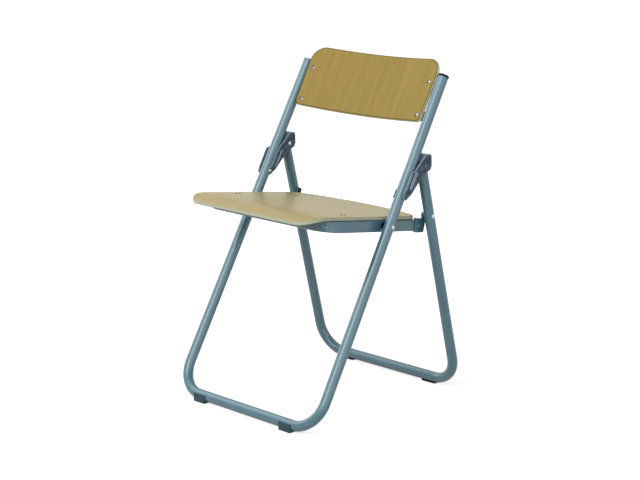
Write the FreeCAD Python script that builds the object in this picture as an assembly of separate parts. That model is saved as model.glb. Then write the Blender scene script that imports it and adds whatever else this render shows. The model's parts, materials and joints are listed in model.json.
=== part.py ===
import FreeCAD, Part
import math
import os

from FreeCAD import Placement, Rotation, Vector

# Folding student chair, in millimetres, standing open on the floor.
# Origin: middle of the footprint on the floor. +X is the sitter's left, +Y is the back, +Z is up.

# Frame tubes
TUBE_RADIUS = 11.1
TUBE_WALL = 1.5
BEND_RADIUS = 62.0
LEG_HALF_WIDTH = 201.0
FRONT_BAR_EXTRA = 4.0
FRONT_TOP_INSET = 3.8
FRONT_LENGTH = 777.0
FRONT_LEAN = 29.75
REAR_LEAN = 14.2

# Pivots: along the front tube, behind and above the seat pivot on the seat, and along the rear leg
SEAT_PIVOT_ALONG = 444.0
LINK_PIVOT_ABOVE = 69.0
REAR_PIVOT_BACK = 122.09
REAR_PIVOT_UP = 21.14
LEG_PIVOT_ABOVE = 113.2
LEG_STUB = 6.5
SEAT_TILT = 8.0
PIVOT_RADIUS = 3.0
RUNNING_CLEARANCE = 0.05
SIDE_CLEARANCE = 0.3
PIVOT_HEAD_RADIUS = 4.6
PIVOT_HEAD_HEIGHT = 1.8
TAPER_CLEARANCE = 0.15
LINK_HEAD_RADIUS = 4.4
LINK_HEAD_HEIGHT = 1.4

# Feet: saddles on the front floor bar, flat pads under the rear one
FOOT_SOLE = 2.5
FOOT_LENGTH = 34.0
FOOT_REACH = 13.4
FOOT_WRAP = 4.5
FOOT_PAST_BEND = 4.0
FOOT_EDGE_FILLET = 1.6
PAD_LENGTH = 42.0
PAD_REACH = 6.5
PAD_HEIGHT = 6.0
PAD_PAST_BEND = 6.0
FOOT_SADDLE_CLEARANCE = 0.1
FOOT_PEG_RADIUS = 3.0
FOOT_PEG_DEPTH = 3.0
PEG_CLEARANCE = 0.05

# Tube caps and plugs
CAP_FLANGE = 4.4
CAP_OVERHANG = 0.5
CAP_DOME = 2.2
CAP_INSERT = 18.0
LEG_PLUG_THICKNESS = 3.0
PLUG_CLEARANCE = 0.05

# Back panel, in the front frame's own plane
BACK_THICKNESS = 8.0
BACK_HEIGHT = 141.4
BACK_RISE = 37.2
BACK_SIDE_GAP = 0.6
BACK_TAPER = 3.4
BACK_TOP_CORNER = 35.0
BACK_BOTTOM_CORNER = 9.5
BACK_CURVE_RADIUS = 1030.0
BACK_CENTRE_DEPTH = 8.0
BACK_EDGE_FILLET = 1.5
BACK_SCREW_INSET = 16.4
BACK_SCREW_LOWER_INSET = 14.6
BACK_SCREW_UPPER_INSET = 51.7

# Back screws, washers, nuts and tabs
SCREW_RADIUS = 2.5
SCREW_HOLE_CLEARANCE = 0.1
SCREW_HEAD_RADIUS = 5.2
SCREW_HEAD_HEIGHT = 3.0
SCREW_CONTACT_GAP = 0.02
SCREW_TAIL = 1.5
WASHER_RADIUS = 5.5
WASHER_THICKNESS = 1.0
NUT_ACROSS_FLATS = 8.0
NUT_HEIGHT = 4.0
TAB_THICKNESS = 2.5
TAB_HALF_HEIGHT = 10.5
TAB_INNER_REACH = 10.0
TAB_TUBE_REACH = 5.5
TAB_CORNER = 4.0

# Seat rail
RAIL_WIDTH = 12.0
RAIL_HEIGHT = 24.4
RAIL_DROP = 2.2
RAIL_CORNER = 3.0
RAIL_WALL = 1.5
RAIL_SETBACK = 53.0
RAIL_PAST_PIVOT = 3.9
RAIL_BEND_RADIUS = 40.0
RAIL_PLUG_PLATE = 2.0
RAIL_PLUG_INSERT = 10.0

# Seat panel
SEAT_THICKNESS = 8.0
SEAT_SIDE_INSET = 0.5
SEAT_FRONT = -218.0
SEAT_FRONT_CORNER = 40.0
SEAT_PAST_PIVOT = 18.9
SEAT_REAR_RADIUS = 500.0
SEAT_REAR_CORNER = 45.0
SEAT_ROLL_DEPTH = 52.0
SEAT_ROLL_RADIUS = 112.0
SEAT_ROLL_SWEEP = 40.0
SEAT_EDGE_FILLET = 2.0

# Seat tabs and rivets
SEAT_TAB_WIDTH = 34.0
SEAT_TAB_HALF_LENGTH = 16.0
SEAT_TAB_DROP = 17.0
SEAT_TAB_FRONT_SETBACK = 125.7
SEAT_TAB_REAR_SETBACK = 81.0
SEAT_RIVET_INSET = 16.0
SEAT_RIVET_PITCH = 11.0
SEAT_RIVET_RADIUS = 1.8
SEAT_RIVET_HEAD_RADIUS = 3.4
SEAT_RIVET_HEAD_HEIGHT = 1.0
SEAT_RIVET_TAIL_HEIGHT = 1.2
RIVET_HOLE_CLEARANCE = 0.05

# Rear pivot bracket on the rail's end
BRACKET_THICKNESS = 2.5
BRACKET_LENGTH = 28.0
BRACKET_PAST_PIVOT = 3.4
BRACKET_SEAT_CLEARANCE = 2.0
BRACKET_CORNER = 3.0
EAR_RADIUS = 5.6
EAR_ROOT_CORNER = 4.0
BRACKET_RIVET_SETBACK = 13.0
BRACKET_RIVET_DROP = 3.0
BRACKET_RIVET_RADIUS = 2.0
BRACKET_RIVET_HEAD_RADIUS = 3.6
BRACKET_RIVET_HEAD_HEIGHT = 1.2
BRACKET_RIVET_TAIL = 2.0

# Rear pivot washers and studs
OUTER_WASHER_RADIUS = 5.2
OUTER_WASHER_THICKNESS = 3.1
INNER_WASHER_RADIUS = 5.6
INNER_WASHER_THICKNESS = 1.2
STUD_HEAD_HEIGHT = 1.5
STUD_HEAD_RADIUS = 4.4

# Seat pivot spacer
SPACER_RADIUS = 7.2

# Hinge links. Outlines: share of the way from the lower to the upper pivot, then along the tube,
# behind the tube and corner radius. The two plates share their rear and differ along the tube
LINK_INNER_SIDE_CLEARANCE = 1.0
LINK_OUTER_SIDE_CLEARANCE = 0.4
LINK_PLATE = 1.5
LINK_RIM = 1.2
LINK_RIM_WIDTH = 2.4
LINK_WEB_CLEARANCE = 0.4
LINK_WEB = 1.6
LINK_WEB_BOTTOM = 40.0
LINK_REAR = (
    (0.0, -9.0, 4.0, 5.0),
    (0.0, 10.0, 14.0, 10.0),
    (0.5, 3.3, 9.5, 14.0),
    (1.0, -9.4, 8.0, 14.0),
    (1.0, -2.4, 15.0, 5.0),
    (1.0, 6.6, 15.5, 6.0),
    (1.0, 29.0, 1.5, 6.0),
    (1.0, 21.0, -13.0, 8.0),
)
LINK_OUTER_FRONT = (
    (0.5, 17.3, -13.5, 10.0),
    (0.5, 10.3, -22.0, 8.0),
    (0.0, 4.0, -8.5, 9.0),
    (0.0, -9.0, -6.0, 4.0),
)
LINK_INNER_FRONT = (
    (0.5, 12.0, -14.5, 10.0),
    (0.0, 13.0, -1.5, 6.0),
    (0.0, 5.0, -5.2, 4.0),
    (0.0, -9.0, -4.6, 4.0),
)
LINK_STRIP_FRONT = -8.5
LINK_STRIP_WIDTH = 6.0
LINK_STRIP_START = 9.0
LINK_STRIP_END = 46.0
LINK_RIDGE_WIDTH = 8.5
LINK_RIDGE_BEHIND = 6.0
LINK_RIDGE_START = 16.0
LINK_RIDGE_END = 56.0
LINK_RIDGE_HEIGHT = 1.7
LINK_RIB_WIDTH = 5.0
LINK_RIB_BEHIND = 12.0
LINK_RIB_START = 14.0
LINK_RIB_END = 54.0
LINK_BAR_FILLET = 0.8
LINK_DIMPLE_RADIUS = 2.8
LINK_DIMPLE_DEPTH = 1.3
LINK_DIMPLE_BEHIND = 4.7
LINK_DIMPLE_START = 20.5
LINK_DIMPLE_PITCH = 15.0
LINK_DIMPLE_COUNT = 3
LINK_BOSS_RADIUS = 6.4

X_AXIS = Vector(1, 0, 0)
Y_AXIS = Vector(0, 1, 0)
Z_AXIS = Vector(0, 0, 1)
SIDES = (("left", 1), ("right", -1))

BAR_HEIGHT = TUBE_RADIUS + FOOT_SOLE
FRONT_HALF_WIDTH = LEG_HALF_WIDTH + FRONT_BAR_EXTRA
FRONT_TOP_HALF_WIDTH = LEG_HALF_WIDTH - FRONT_TOP_INSET
LINK_PIVOT_ALONG = SEAT_PIVOT_ALONG + LINK_PIVOT_ABOVE
EAR = Vector(0, REAR_PIVOT_BACK, REAR_PIVOT_UP)


def front_half_width(along):
    """Half distance between the front tubes' centre lines at a distance along them."""
    narrowing = FRONT_HALF_WIDTH - FRONT_TOP_HALF_WIDTH
    return FRONT_HALF_WIDTH - narrowing * along / FRONT_LENGTH


def rear_pivot_along():
    """Distance of the rear pivot along the rear leg, from its height above the floor bars."""
    seat_pivot_height = SEAT_PIVOT_ALONG * math.cos(math.radians(FRONT_LEAN))
    above = Rotation(X_AXIS, -SEAT_TILT).multVec(EAR).z
    return (seat_pivot_height + above) / math.cos(math.radians(REAR_LEAN))


def foot_spread():
    """Distance between the front and rear floor bars when the chair stands open."""
    seat_pivot_back = SEAT_PIVOT_ALONG * math.sin(math.radians(FRONT_LEAN))
    behind = Rotation(X_AXIS, -SEAT_TILT).multVec(EAR).y
    return seat_pivot_back + behind + rear_pivot_along() * math.sin(math.radians(REAR_LEAN))


FRONT = Placement(Vector(0, -foot_spread() / 2, BAR_HEIGHT), Rotation(X_AXIS, -FRONT_LEAN))
REAR = Placement(Vector(0, foot_spread() / 2, BAR_HEIGHT), Rotation(X_AXIS, REAR_LEAN))
LEG_PIVOT_ALONG = rear_pivot_along() + LEG_PIVOT_ABOVE
SEAT_PIVOT = FRONT.multVec(Vector(0, 0, SEAT_PIVOT_ALONG))
LINK_PIVOT = FRONT.multVec(Vector(0, 0, LINK_PIVOT_ALONG))
REAR_PIVOT = REAR.multVec(Vector(0, 0, rear_pivot_along()))
LEG_PIVOT = REAR.multVec(Vector(0, 0, LEG_PIVOT_ALONG))
SEAT = Placement(SEAT_PIVOT, Rotation(X_AXIS, -SEAT_TILT))
LINK = Placement(LINK_PIVOT, Rotation(X_AXIS, -FRONT_LEAN))
LINK_TOP_PIVOT = LINK.inverse().multVec(LEG_PIVOT)

LEG_INNER_X = LEG_HALF_WIDTH - TUBE_RADIUS
LEG_OUTER_X = LEG_HALF_WIDTH + TUBE_RADIUS
BRACKET_OUTER_X = LEG_INNER_X - SIDE_CLEARANCE - OUTER_WASHER_THICKNESS
RAIL_OUTER_X = BRACKET_OUTER_X - BRACKET_THICKNESS
RAIL_INNER_X = RAIL_OUTER_X - RAIL_WIDTH
RAIL_CENTRE_X = RAIL_OUTER_X - RAIL_WIDTH / 2
RAIL_TOP = RAIL_HEIGHT / 2 - RAIL_DROP
RAIL_BOTTOM = RAIL_TOP - RAIL_HEIGHT
RAIL_FRONT = SEAT_FRONT + RAIL_SETBACK
RAIL_REAR = REAR_PIVOT_BACK + RAIL_PAST_PIVOT
SEAT_TOP = RAIL_TOP + SEAT_THICKNESS
SEAT_HALF_WIDTH = RAIL_OUTER_X - SEAT_SIDE_INSET
SEAT_REAR = REAR_PIVOT_BACK + SEAT_PAST_PIVOT
SEAT_ROLL_START = SEAT_FRONT + SEAT_ROLL_DEPTH
SEAT_TAB_FRONT_Y = SEAT_FRONT + SEAT_TAB_FRONT_SETBACK
SEAT_TAB_REAR_Y = SEAT_REAR - SEAT_TAB_REAR_SETBACK
SEAT_TAB_INNER_X = RAIL_INNER_X - SEAT_TAB_WIDTH
SEAT_RIVET_X = RAIL_INNER_X - SEAT_RIVET_INSET
BRACKET_REAR_Y = REAR_PIVOT_BACK + BRACKET_PAST_PIVOT
BRACKET_FRONT_Y = BRACKET_REAR_Y - BRACKET_LENGTH
BRACKET_RIVET = Vector(0, REAR_PIVOT_BACK - BRACKET_RIVET_SETBACK, -BRACKET_RIVET_DROP)
BACK_TOP = FRONT_LENGTH + BACK_RISE
BACK_BOTTOM = BACK_TOP - BACK_HEIGHT
BACK_SCREW_UPPER = BACK_TOP - BACK_SCREW_UPPER_INSET
BACK_SCREW_LOWER = BACK_BOTTOM + BACK_SCREW_LOWER_INSET
BACK_HALF_WIDTH = FRONT_TOP_HALF_WIDTH - TUBE_RADIUS - BACK_SIDE_GAP
BACK_SCREW_X = BACK_HALF_WIDTH - BACK_SCREW_INSET
PIVOT_TUBE_X = front_half_width(SEAT_PIVOT_ALONG)
LINK_INNER_X = front_half_width(LINK_PIVOT_ALONG) - TUBE_RADIUS - LINK_INNER_SIDE_CLEARANCE
LINK_OUTER_X = LEG_OUTER_X + LINK_OUTER_SIDE_CLEARANCE
LINK_INNER_SKIN = LINK_INNER_X - LINK_PLATE
LINK_OUTER_SKIN = LINK_OUTER_X + LINK_PLATE


def placed(shape, placement):
    """Copy of a shape moved from a local frame into the chair's frame."""
    copy = shape.copy()
    copy.Placement = placement.multiply(copy.Placement)
    return copy


def on_side(shape, sign):
    """The left-hand shape itself, or its mirror image for the right-hand side."""
    if sign > 0:
        return shape
    return shape.mirror(Vector(), X_AXIS)


def both_sides(shape):
    """A left-hand solid and its mirror image as one group of separate solids."""
    return Part.makeCompound([on_side(shape, sign) for _, sign in SIDES])


def corner_arc(before, corner, after, radius):
    """Start, middle and end of the arc that rounds one corner of a polyline."""
    to_before = (before - corner).normalize()
    to_after = (after - corner).normalize()
    half = to_before.getAngle(to_after) / 2
    reach = radius / math.tan(half)
    bisector = (to_before + to_after).normalize()
    middle = corner + bisector * (radius / math.sin(half) - radius)
    return corner + to_before * reach, middle, corner + to_after * reach


def segment(start, end):
    """A list with the straight edge between two points, empty when they meet."""
    if start.distanceToPoint(end) < 1e-6:
        return []
    return [Part.LineSegment(start, end).toShape()]


def rounded_path(points, radius):
    """Open wire through points with each inner corner rounded."""
    edges = []
    start = points[0]
    for before, corner, after in zip(points, points[1:], points[2:]):
        first, middle, last = corner_arc(before, corner, after, radius)
        edges += segment(start, first)
        edges.append(Part.Arc(first, middle, last).toShape())
        start = last
    edges += segment(start, points[-1])
    return Part.Wire(edges)


def rounded_outline(points, radii):
    """Flat face bounded by a closed polygon whose corners have their own radii."""
    count = len(points)
    arcs = []
    for index, radius in enumerate(radii):
        before = points[index - 1]
        after = points[(index + 1) % count]
        arcs.append(corner_arc(before, points[index], after, radius))
    edges = []
    for index, (first, middle, last) in enumerate(arcs):
        edges.append(Part.Arc(first, middle, last).toShape())
        edges += segment(last, arcs[(index + 1) % count][0])
    return Part.Face(Part.Wire(edges))


def rounded_rectangle(width, height, radius):
    """Rounded rectangle face in the XZ plane, centred on the origin."""
    half_w = width / 2
    half_h = height / 2
    corners = [
        Vector(half_w, 0, half_h),
        Vector(-half_w, 0, half_h),
        Vector(-half_w, 0, -half_h),
        Vector(half_w, 0, -half_h),
    ]
    return rounded_outline(corners, [radius] * len(corners))


def rod(radius, start, axis, length):
    """Solid cylinder from a start point along an axis."""
    return Part.makeCylinder(radius, length, start, axis)


def cross_rod(radius, centre, from_x, to_x):
    """Solid cylinder along X through a point, between two X positions."""
    return rod(radius, Vector(from_x, centre.y, centre.z), X_AXIS, to_x - from_x)


def through_rod(radius, centre):
    """Solid cylinder along X that passes through both sides of the chair."""
    reach = 2 * FRONT_HALF_WIDTH
    return cross_rod(radius, centre, -reach, reach)


def dome(radius, height):
    """Low domed head standing on the XY plane."""
    sphere = (radius ** 2 + height ** 2) / (2 * height)
    half_angle = math.asin(radius / sphere) / 2
    middle = Vector(sphere * math.sin(half_angle), 0, height - sphere + sphere * math.cos(half_angle))
    rim = Vector(radius, 0, 0)
    top = Vector(0, 0, height)
    edges = [
        Part.LineSegment(Vector(), rim).toShape(),
        Part.Arc(rim, middle, top).toShape(),
        Part.LineSegment(top, Vector()).toShape(),
    ]
    return Part.Face(Part.Wire(edges)).revolve(Vector(), Z_AXIS, 360)


def domed_head(radius, height, centre, axis):
    """Domed head whose flat side sits at a point, bulging along an axis."""
    return placed(dome(radius, height), Placement(centre, Rotation(Z_AXIS, axis)))


def rivet(radius, head_radius, head_height, centre, from_x, to_x):
    """Rivet along X with a domed head outside each end of its shank."""
    inner = Vector(from_x, centre.y, centre.z)
    outer = Vector(to_x, centre.y, centre.z)
    shank = cross_rod(radius, centre, from_x, to_x)
    inner_head = domed_head(head_radius, head_height, inner, X_AXIS * -1)
    outer_head = domed_head(head_radius, head_height, outer, X_AXIS)
    return shank.fuse([inner_head, outer_head]).removeSplitter()


def swept_tube(points, wall):
    """Solid outside and hollow inside of a round tube bent along points."""
    path = rounded_path(points, BEND_RADIUS)
    direction = (points[1] - points[0]).normalize()
    solids = []
    for radius in (TUBE_RADIUS, TUBE_RADIUS - wall):
        ring = Part.Wire([Part.Circle(points[0], direction, radius).toShape()])
        solids.append(path.makePipeShell([ring], True, False))
    return solids


def front_points():
    """Corners of the front tube's U, from the right top to the left top."""
    top = Vector(FRONT_TOP_HALF_WIDTH, 0, FRONT_LENGTH)
    corner = Vector(FRONT_HALF_WIDTH, 0, 0)
    mirrored = [Vector(-p.x, p.y, p.z) for p in (top, corner)]
    return mirrored + [corner, top]


def rear_points():
    """Corners of the rear tube's U, from the right top to the left top."""
    top = Vector(LEG_HALF_WIDTH, 0, LEG_PIVOT_ALONG + LEG_STUB)
    corner = Vector(LEG_HALF_WIDTH, 0, 0)
    mirrored = [Vector(-p.x, p.y, p.z) for p in (top, corner)]
    return mirrored + [corner, top]


def front_foot_x():
    """Middle of the left front foot, at the end of the floor bar's straight run."""
    return FRONT_HALF_WIDTH - BEND_RADIUS + FOOT_PAST_BEND - FOOT_LENGTH / 2


def rear_foot_x():
    """Middle of the left rear foot, at the end of the floor bar's straight run."""
    return LEG_HALF_WIDTH - BEND_RADIUS + PAD_PAST_BEND - PAD_LENGTH / 2


def peg_holes(x, frame):
    """Holes in a floor bar's underside for the feet's pegs."""
    holes = []
    for _, sign in SIDES:
        start = Vector(sign * x, frame.Base.y, FOOT_SOLE / 2)
        holes.append(rod(FOOT_PEG_RADIUS + PEG_CLEARANCE, start, Z_AXIS, TUBE_RADIUS))
    return holes


def front_frame():
    """Front U tube with holes for both pivots and the feet's pegs."""
    outside, inside = swept_tube(front_points(), TUBE_WALL)
    tube = placed(outside.cut(inside), FRONT)
    cuts = peg_holes(front_foot_x(), FRONT)
    for pivot in (SEAT_PIVOT, LINK_PIVOT):
        cuts.append(through_rod(PIVOT_RADIUS + RUNNING_CLEARANCE, pivot))
    return tube.cut(cuts)


def rear_frame():
    """Rear U tube with holes for both pivots and the feet's pegs."""
    outside, inside = swept_tube(rear_points(), TUBE_WALL)
    tube = placed(outside.cut(inside), REAR)
    cuts = peg_holes(rear_foot_x(), REAR)
    for pivot in (REAR_PIVOT, LEG_PIVOT):
        cuts.append(through_rod(PIVOT_RADIUS + RUNNING_CLEARANCE, pivot))
    return tube.cut(cuts)


def foot(x, block, bar_points, frame):
    """Left foot cut from a block to fit under a floor bar, with its peg inside the tube."""
    _, groove = swept_tube(bar_points, -FOOT_SADDLE_CLEARANCE)
    peg_start = Vector(x, frame.Base.y, FOOT_SOLE / 2)
    peg = rod(FOOT_PEG_RADIUS, peg_start, Z_AXIS, FOOT_SOLE / 2 + TUBE_WALL + FOOT_PEG_DEPTH)
    return block.cut(placed(groove, frame)).fuse(peg).removeSplitter()


def front_foot():
    """Left saddle foot that clips round the front floor bar."""
    x = front_foot_x()
    corner = Vector(x - FOOT_LENGTH / 2, FRONT.Base.y - FOOT_REACH, 0)
    height = BAR_HEIGHT + FOOT_WRAP
    block = Part.makeBox(FOOT_LENGTH, 2 * FOOT_REACH, height, corner)
    lower = [edge for edge in block.Edges if edge.CenterOfMass.z < height - FOOT_EDGE_FILLET]
    return foot(x, block.makeFillet(FOOT_EDGE_FILLET, lower), front_points(), FRONT)


def rear_foot():
    """Left flat pad under the rear floor bar, with round ends."""
    x = rear_foot_x()
    run = PAD_LENGTH / 2 - PAD_REACH
    corner = Vector(x - run, REAR.Base.y - PAD_REACH, 0)
    block = Part.makeBox(2 * run, 2 * PAD_REACH, PAD_HEIGHT, corner)
    ends = []
    for shift in (-run, run):
        ends.append(rod(PAD_REACH, Vector(x + shift, REAR.Base.y, 0), Z_AXIS, PAD_HEIGHT))
    return foot(x, block.fuse(ends).removeSplitter(), rear_points(), REAR)


def tube_cap():
    """Left domed cap with an insert, at the top of the front tube."""
    base, corner = front_points()[3], front_points()[2]
    insert_radius = TUBE_RADIUS - TUBE_WALL - PLUG_CLEARANCE
    insert = rod(insert_radius, Z_AXIS * -CAP_INSERT, Z_AXIS, CAP_INSERT)
    flange_radius = TUBE_RADIUS + CAP_OVERHANG
    flange = rod(flange_radius, Vector(), Z_AXIS, CAP_FLANGE)
    crown = domed_head(flange_radius, CAP_DOME, Z_AXIS * CAP_FLANGE, Z_AXIS)
    cap = insert.fuse([flange, crown]).removeSplitter()
    local = Placement(base, Rotation(Z_AXIS, base - corner))
    return placed(cap, FRONT.multiply(local))


def leg_plug():
    """Left disc that closes the top of the rear leg."""
    start = Vector(LEG_HALF_WIDTH, 0, LEG_PIVOT_ALONG + LEG_STUB - LEG_PLUG_THICKNESS)
    radius = TUBE_RADIUS - TUBE_WALL - PLUG_CLEARANCE
    return placed(rod(radius, start, Z_AXIS, LEG_PLUG_THICKNESS), REAR)


def back_arc_points(radius):
    """Three points of a back panel surface's arc, a little wider than the panel."""
    centre = BACK_CENTRE_DEPTH - BACK_CURVE_RADIUS
    reach = BACK_HALF_WIDTH + BACK_THICKNESS
    depth = centre + math.sqrt(radius ** 2 - reach ** 2)
    return Vector(-reach, depth, 0), Vector(0, centre + radius, 0), Vector(reach, depth, 0)


def back_blank():
    """Curved sheet of the back panel's thickness, taller than the panel."""
    front = back_arc_points(BACK_CURVE_RADIUS)
    rear = back_arc_points(BACK_CURVE_RADIUS + BACK_THICKNESS)
    edges = [Part.Arc(*front).toShape()]
    edges += segment(front[2], rear[2])
    edges.append(Part.Arc(*rear).toShape())
    edges += segment(front[0], rear[0])
    face = Part.Face(Part.Wire(Part.__sortEdges__(edges)))
    return face.extrude(Z_AXIS * 2 * BACK_TOP)


def back_outline():
    """Outline of the back panel seen from the front, as a deep block."""
    bottom_half_width = BACK_HALF_WIDTH - BACK_TAPER
    corners = [
        Vector(bottom_half_width, 0, BACK_BOTTOM),
        Vector(BACK_HALF_WIDTH, 0, BACK_TOP),
        Vector(-BACK_HALF_WIDTH, 0, BACK_TOP),
        Vector(-bottom_half_width, 0, BACK_BOTTOM),
    ]
    radii = [BACK_BOTTOM_CORNER, BACK_TOP_CORNER, BACK_TOP_CORNER, BACK_BOTTOM_CORNER]
    face = rounded_outline(corners, radii)
    face.translate(Y_AXIS * -BACK_HALF_WIDTH)
    return face.extrude(Y_AXIS * 2 * BACK_HALF_WIDTH)


def screw_frame(along):
    """Frame of a left back screw: origin on the panel's front, Z through it to the back."""
    angle = math.asin(BACK_SCREW_X / BACK_CURVE_RADIUS)
    outward = Vector(math.sin(angle), math.cos(angle), 0)
    sideways = Vector(math.cos(angle), -math.sin(angle), 0)
    centre = Vector(0, BACK_CENTRE_DEPTH - BACK_CURVE_RADIUS, along)
    return Placement(centre + outward * BACK_CURVE_RADIUS, Rotation(sideways, Z_AXIS * -1, outward, "ZXY"))


def back_panel():
    """Curved plywood back panel with its screw holes and eased edges."""
    panel = back_blank().common(back_outline())
    faces_edges = [edge for edge in panel.Edges if edge.Length > 2 * BACK_THICKNESS]
    short_arcs = [edge for edge in panel.Edges if is_short_corner(edge)]
    panel = panel.makeFillet(BACK_EDGE_FILLET, faces_edges + short_arcs)
    holes = []
    for along in (BACK_SCREW_UPPER, BACK_SCREW_LOWER):
        hole = rod(SCREW_RADIUS + SCREW_HOLE_CLEARANCE, Z_AXIS * -BACK_THICKNESS, Z_AXIS, 3 * BACK_THICKNESS)
        left = placed(hole, screw_frame(along))
        holes += [left, on_side(left, -1)]
    return placed(panel.cut(holes), FRONT)


def is_short_corner(edge):
    """Whether an edge is a short rounded corner of the panel, not an edge across its thickness."""
    across = BACK_THICKNESS * 1.02
    return across < edge.Length <= 2 * BACK_THICKNESS


def back_tab(along):
    """Left tab from the front tube to behind the back panel, in the front frame's place."""
    outer_reach = BACK_SCREW_INSET + BACK_SIDE_GAP + TAB_TUBE_REACH
    corners = [
        Vector(-TAB_INNER_REACH, -TAB_HALF_HEIGHT, BACK_THICKNESS),
        Vector(outer_reach, -TAB_HALF_HEIGHT, BACK_THICKNESS),
        Vector(outer_reach, TAB_HALF_HEIGHT, BACK_THICKNESS),
        Vector(-TAB_INNER_REACH, TAB_HALF_HEIGHT, BACK_THICKNESS),
    ]
    plate = rounded_outline(corners, [TAB_CORNER] * len(corners)).extrude(Z_AXIS * TAB_THICKNESS)
    hole = rod(SCREW_RADIUS + SCREW_HOLE_CLEARANCE, Vector(), Z_AXIS, 2 * BACK_THICKNESS)
    plate = placed(plate.cut(hole), screw_frame(along))
    tube = swept_tube(front_points(), TUBE_WALL)[0]
    return placed(plate.cut(tube), FRONT)


def back_screw(along):
    """Left domed back screw with a shank that reaches past its nut."""
    length = BACK_THICKNESS + TAB_THICKNESS + WASHER_THICKNESS + NUT_HEIGHT + SCREW_TAIL
    head_base = Z_AXIS * -SCREW_CONTACT_GAP
    head = domed_head(SCREW_HEAD_RADIUS, SCREW_HEAD_HEIGHT, head_base, Z_AXIS * -1)
    shank = rod(SCREW_RADIUS, head_base, Z_AXIS, length)
    screw = head.fuse(shank).removeSplitter()
    return placed(screw, FRONT.multiply(screw_frame(along)))


def back_washer(along):
    """Left flat washer between a back tab and its nut."""
    base = Z_AXIS * (BACK_THICKNESS + TAB_THICKNESS)
    disc = rod(WASHER_RADIUS, base, Z_AXIS, WASHER_THICKNESS)
    hole = rod(SCREW_RADIUS + SCREW_HOLE_CLEARANCE, Vector(), Z_AXIS, 3 * BACK_THICKNESS)
    return placed(disc.cut(hole), FRONT.multiply(screw_frame(along)))


def back_nut(along):
    """Left hexagon nut on a back screw."""
    base = BACK_THICKNESS + TAB_THICKNESS + WASHER_THICKNESS
    radius = NUT_ACROSS_FLATS / math.sqrt(3)
    corners = []
    for step in range(6):
        angle = math.radians(60 * step)
        corners.append(Vector(radius * math.cos(angle), radius * math.sin(angle), base))
    hexagon = Part.Face(Part.makePolygon(corners + corners[:1]))
    hole = rod(SCREW_RADIUS + SCREW_HOLE_CLEARANCE, Vector(), Z_AXIS, 3 * BACK_THICKNESS)
    nut = hexagon.extrude(Z_AXIS * NUT_HEIGHT).cut(hole)
    return placed(nut, FRONT.multiply(screw_frame(along)))


def on_back_screws(make):
    """A piece made at each of the back screws, as one group of separate solids."""
    solids = []
    for along in (BACK_SCREW_UPPER, BACK_SCREW_LOWER):
        left = make(along)
        solids += [left, on_side(left, -1)]
    return Part.makeCompound(solids)


def seat_pivot_rivet():
    """Left rivet through the front tube, spacer and seat rail."""
    inner = RAIL_INNER_X - SIDE_CLEARANCE
    outer = PIVOT_TUBE_X + TUBE_RADIUS + TAPER_CLEARANCE
    return rivet(PIVOT_RADIUS, PIVOT_HEAD_RADIUS, PIVOT_HEAD_HEIGHT, SEAT_PIVOT, inner, outer)


def seat_pivot_spacer():
    """Left spacer ring between the front tube and the seat rail."""
    inner = RAIL_OUTER_X + SIDE_CLEARANCE
    outer = PIVOT_TUBE_X - TUBE_RADIUS - TAPER_CLEARANCE
    ring = cross_rod(SPACER_RADIUS, SEAT_PIVOT, inner, outer)
    return ring.cut(through_rod(PIVOT_RADIUS + RUNNING_CLEARANCE, SEAT_PIVOT))


def link_rivet(pivot):
    """Left rivet through both plates of a hinge link."""
    inner = LINK_INNER_SKIN - SIDE_CLEARANCE
    outer = LINK_OUTER_SKIN + SIDE_CLEARANCE
    return rivet(PIVOT_RADIUS, LINK_HEAD_RADIUS, LINK_HEAD_HEIGHT, pivot, inner, outer)


def seat_frame():
    """U-shaped flat-sided tube under the seat, with its pivot and bracket rivet holes."""
    front = RAIL_FRONT + RAIL_WIDTH / 2
    points = [
        Vector(RAIL_CENTRE_X, RAIL_REAR, -RAIL_DROP),
        Vector(RAIL_CENTRE_X, front, -RAIL_DROP),
        Vector(-RAIL_CENTRE_X, front, -RAIL_DROP),
        Vector(-RAIL_CENTRE_X, RAIL_REAR, -RAIL_DROP),
    ]
    path = rounded_path(points, RAIL_BEND_RADIUS)
    solids = []
    for inset in (0, RAIL_WALL):
        size = (RAIL_WIDTH - 2 * inset, RAIL_HEIGHT - 2 * inset, RAIL_CORNER - inset)
        section = rounded_rectangle(*size)
        section.translate(points[0])
        solids.append(path.makePipeShell([section.OuterWire], True, False))
    tube = solids[0].cut(solids[1])
    pivot = through_rod(PIVOT_RADIUS + RUNNING_CLEARANCE, Vector())
    return placed(tube.cut([pivot] + bracket_rivet_holes()), SEAT)


def bracket_rivet_holes():
    """Holes for the bracket rivets in the outer walls of both rails, in the seat's frame."""
    radius = BRACKET_RIVET_RADIUS + RIVET_HOLE_CLEARANCE
    hole = cross_rod(radius, BRACKET_RIVET, RAIL_CENTRE_X, LEG_INNER_X)
    return [hole, on_side(hole, -1)]


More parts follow.
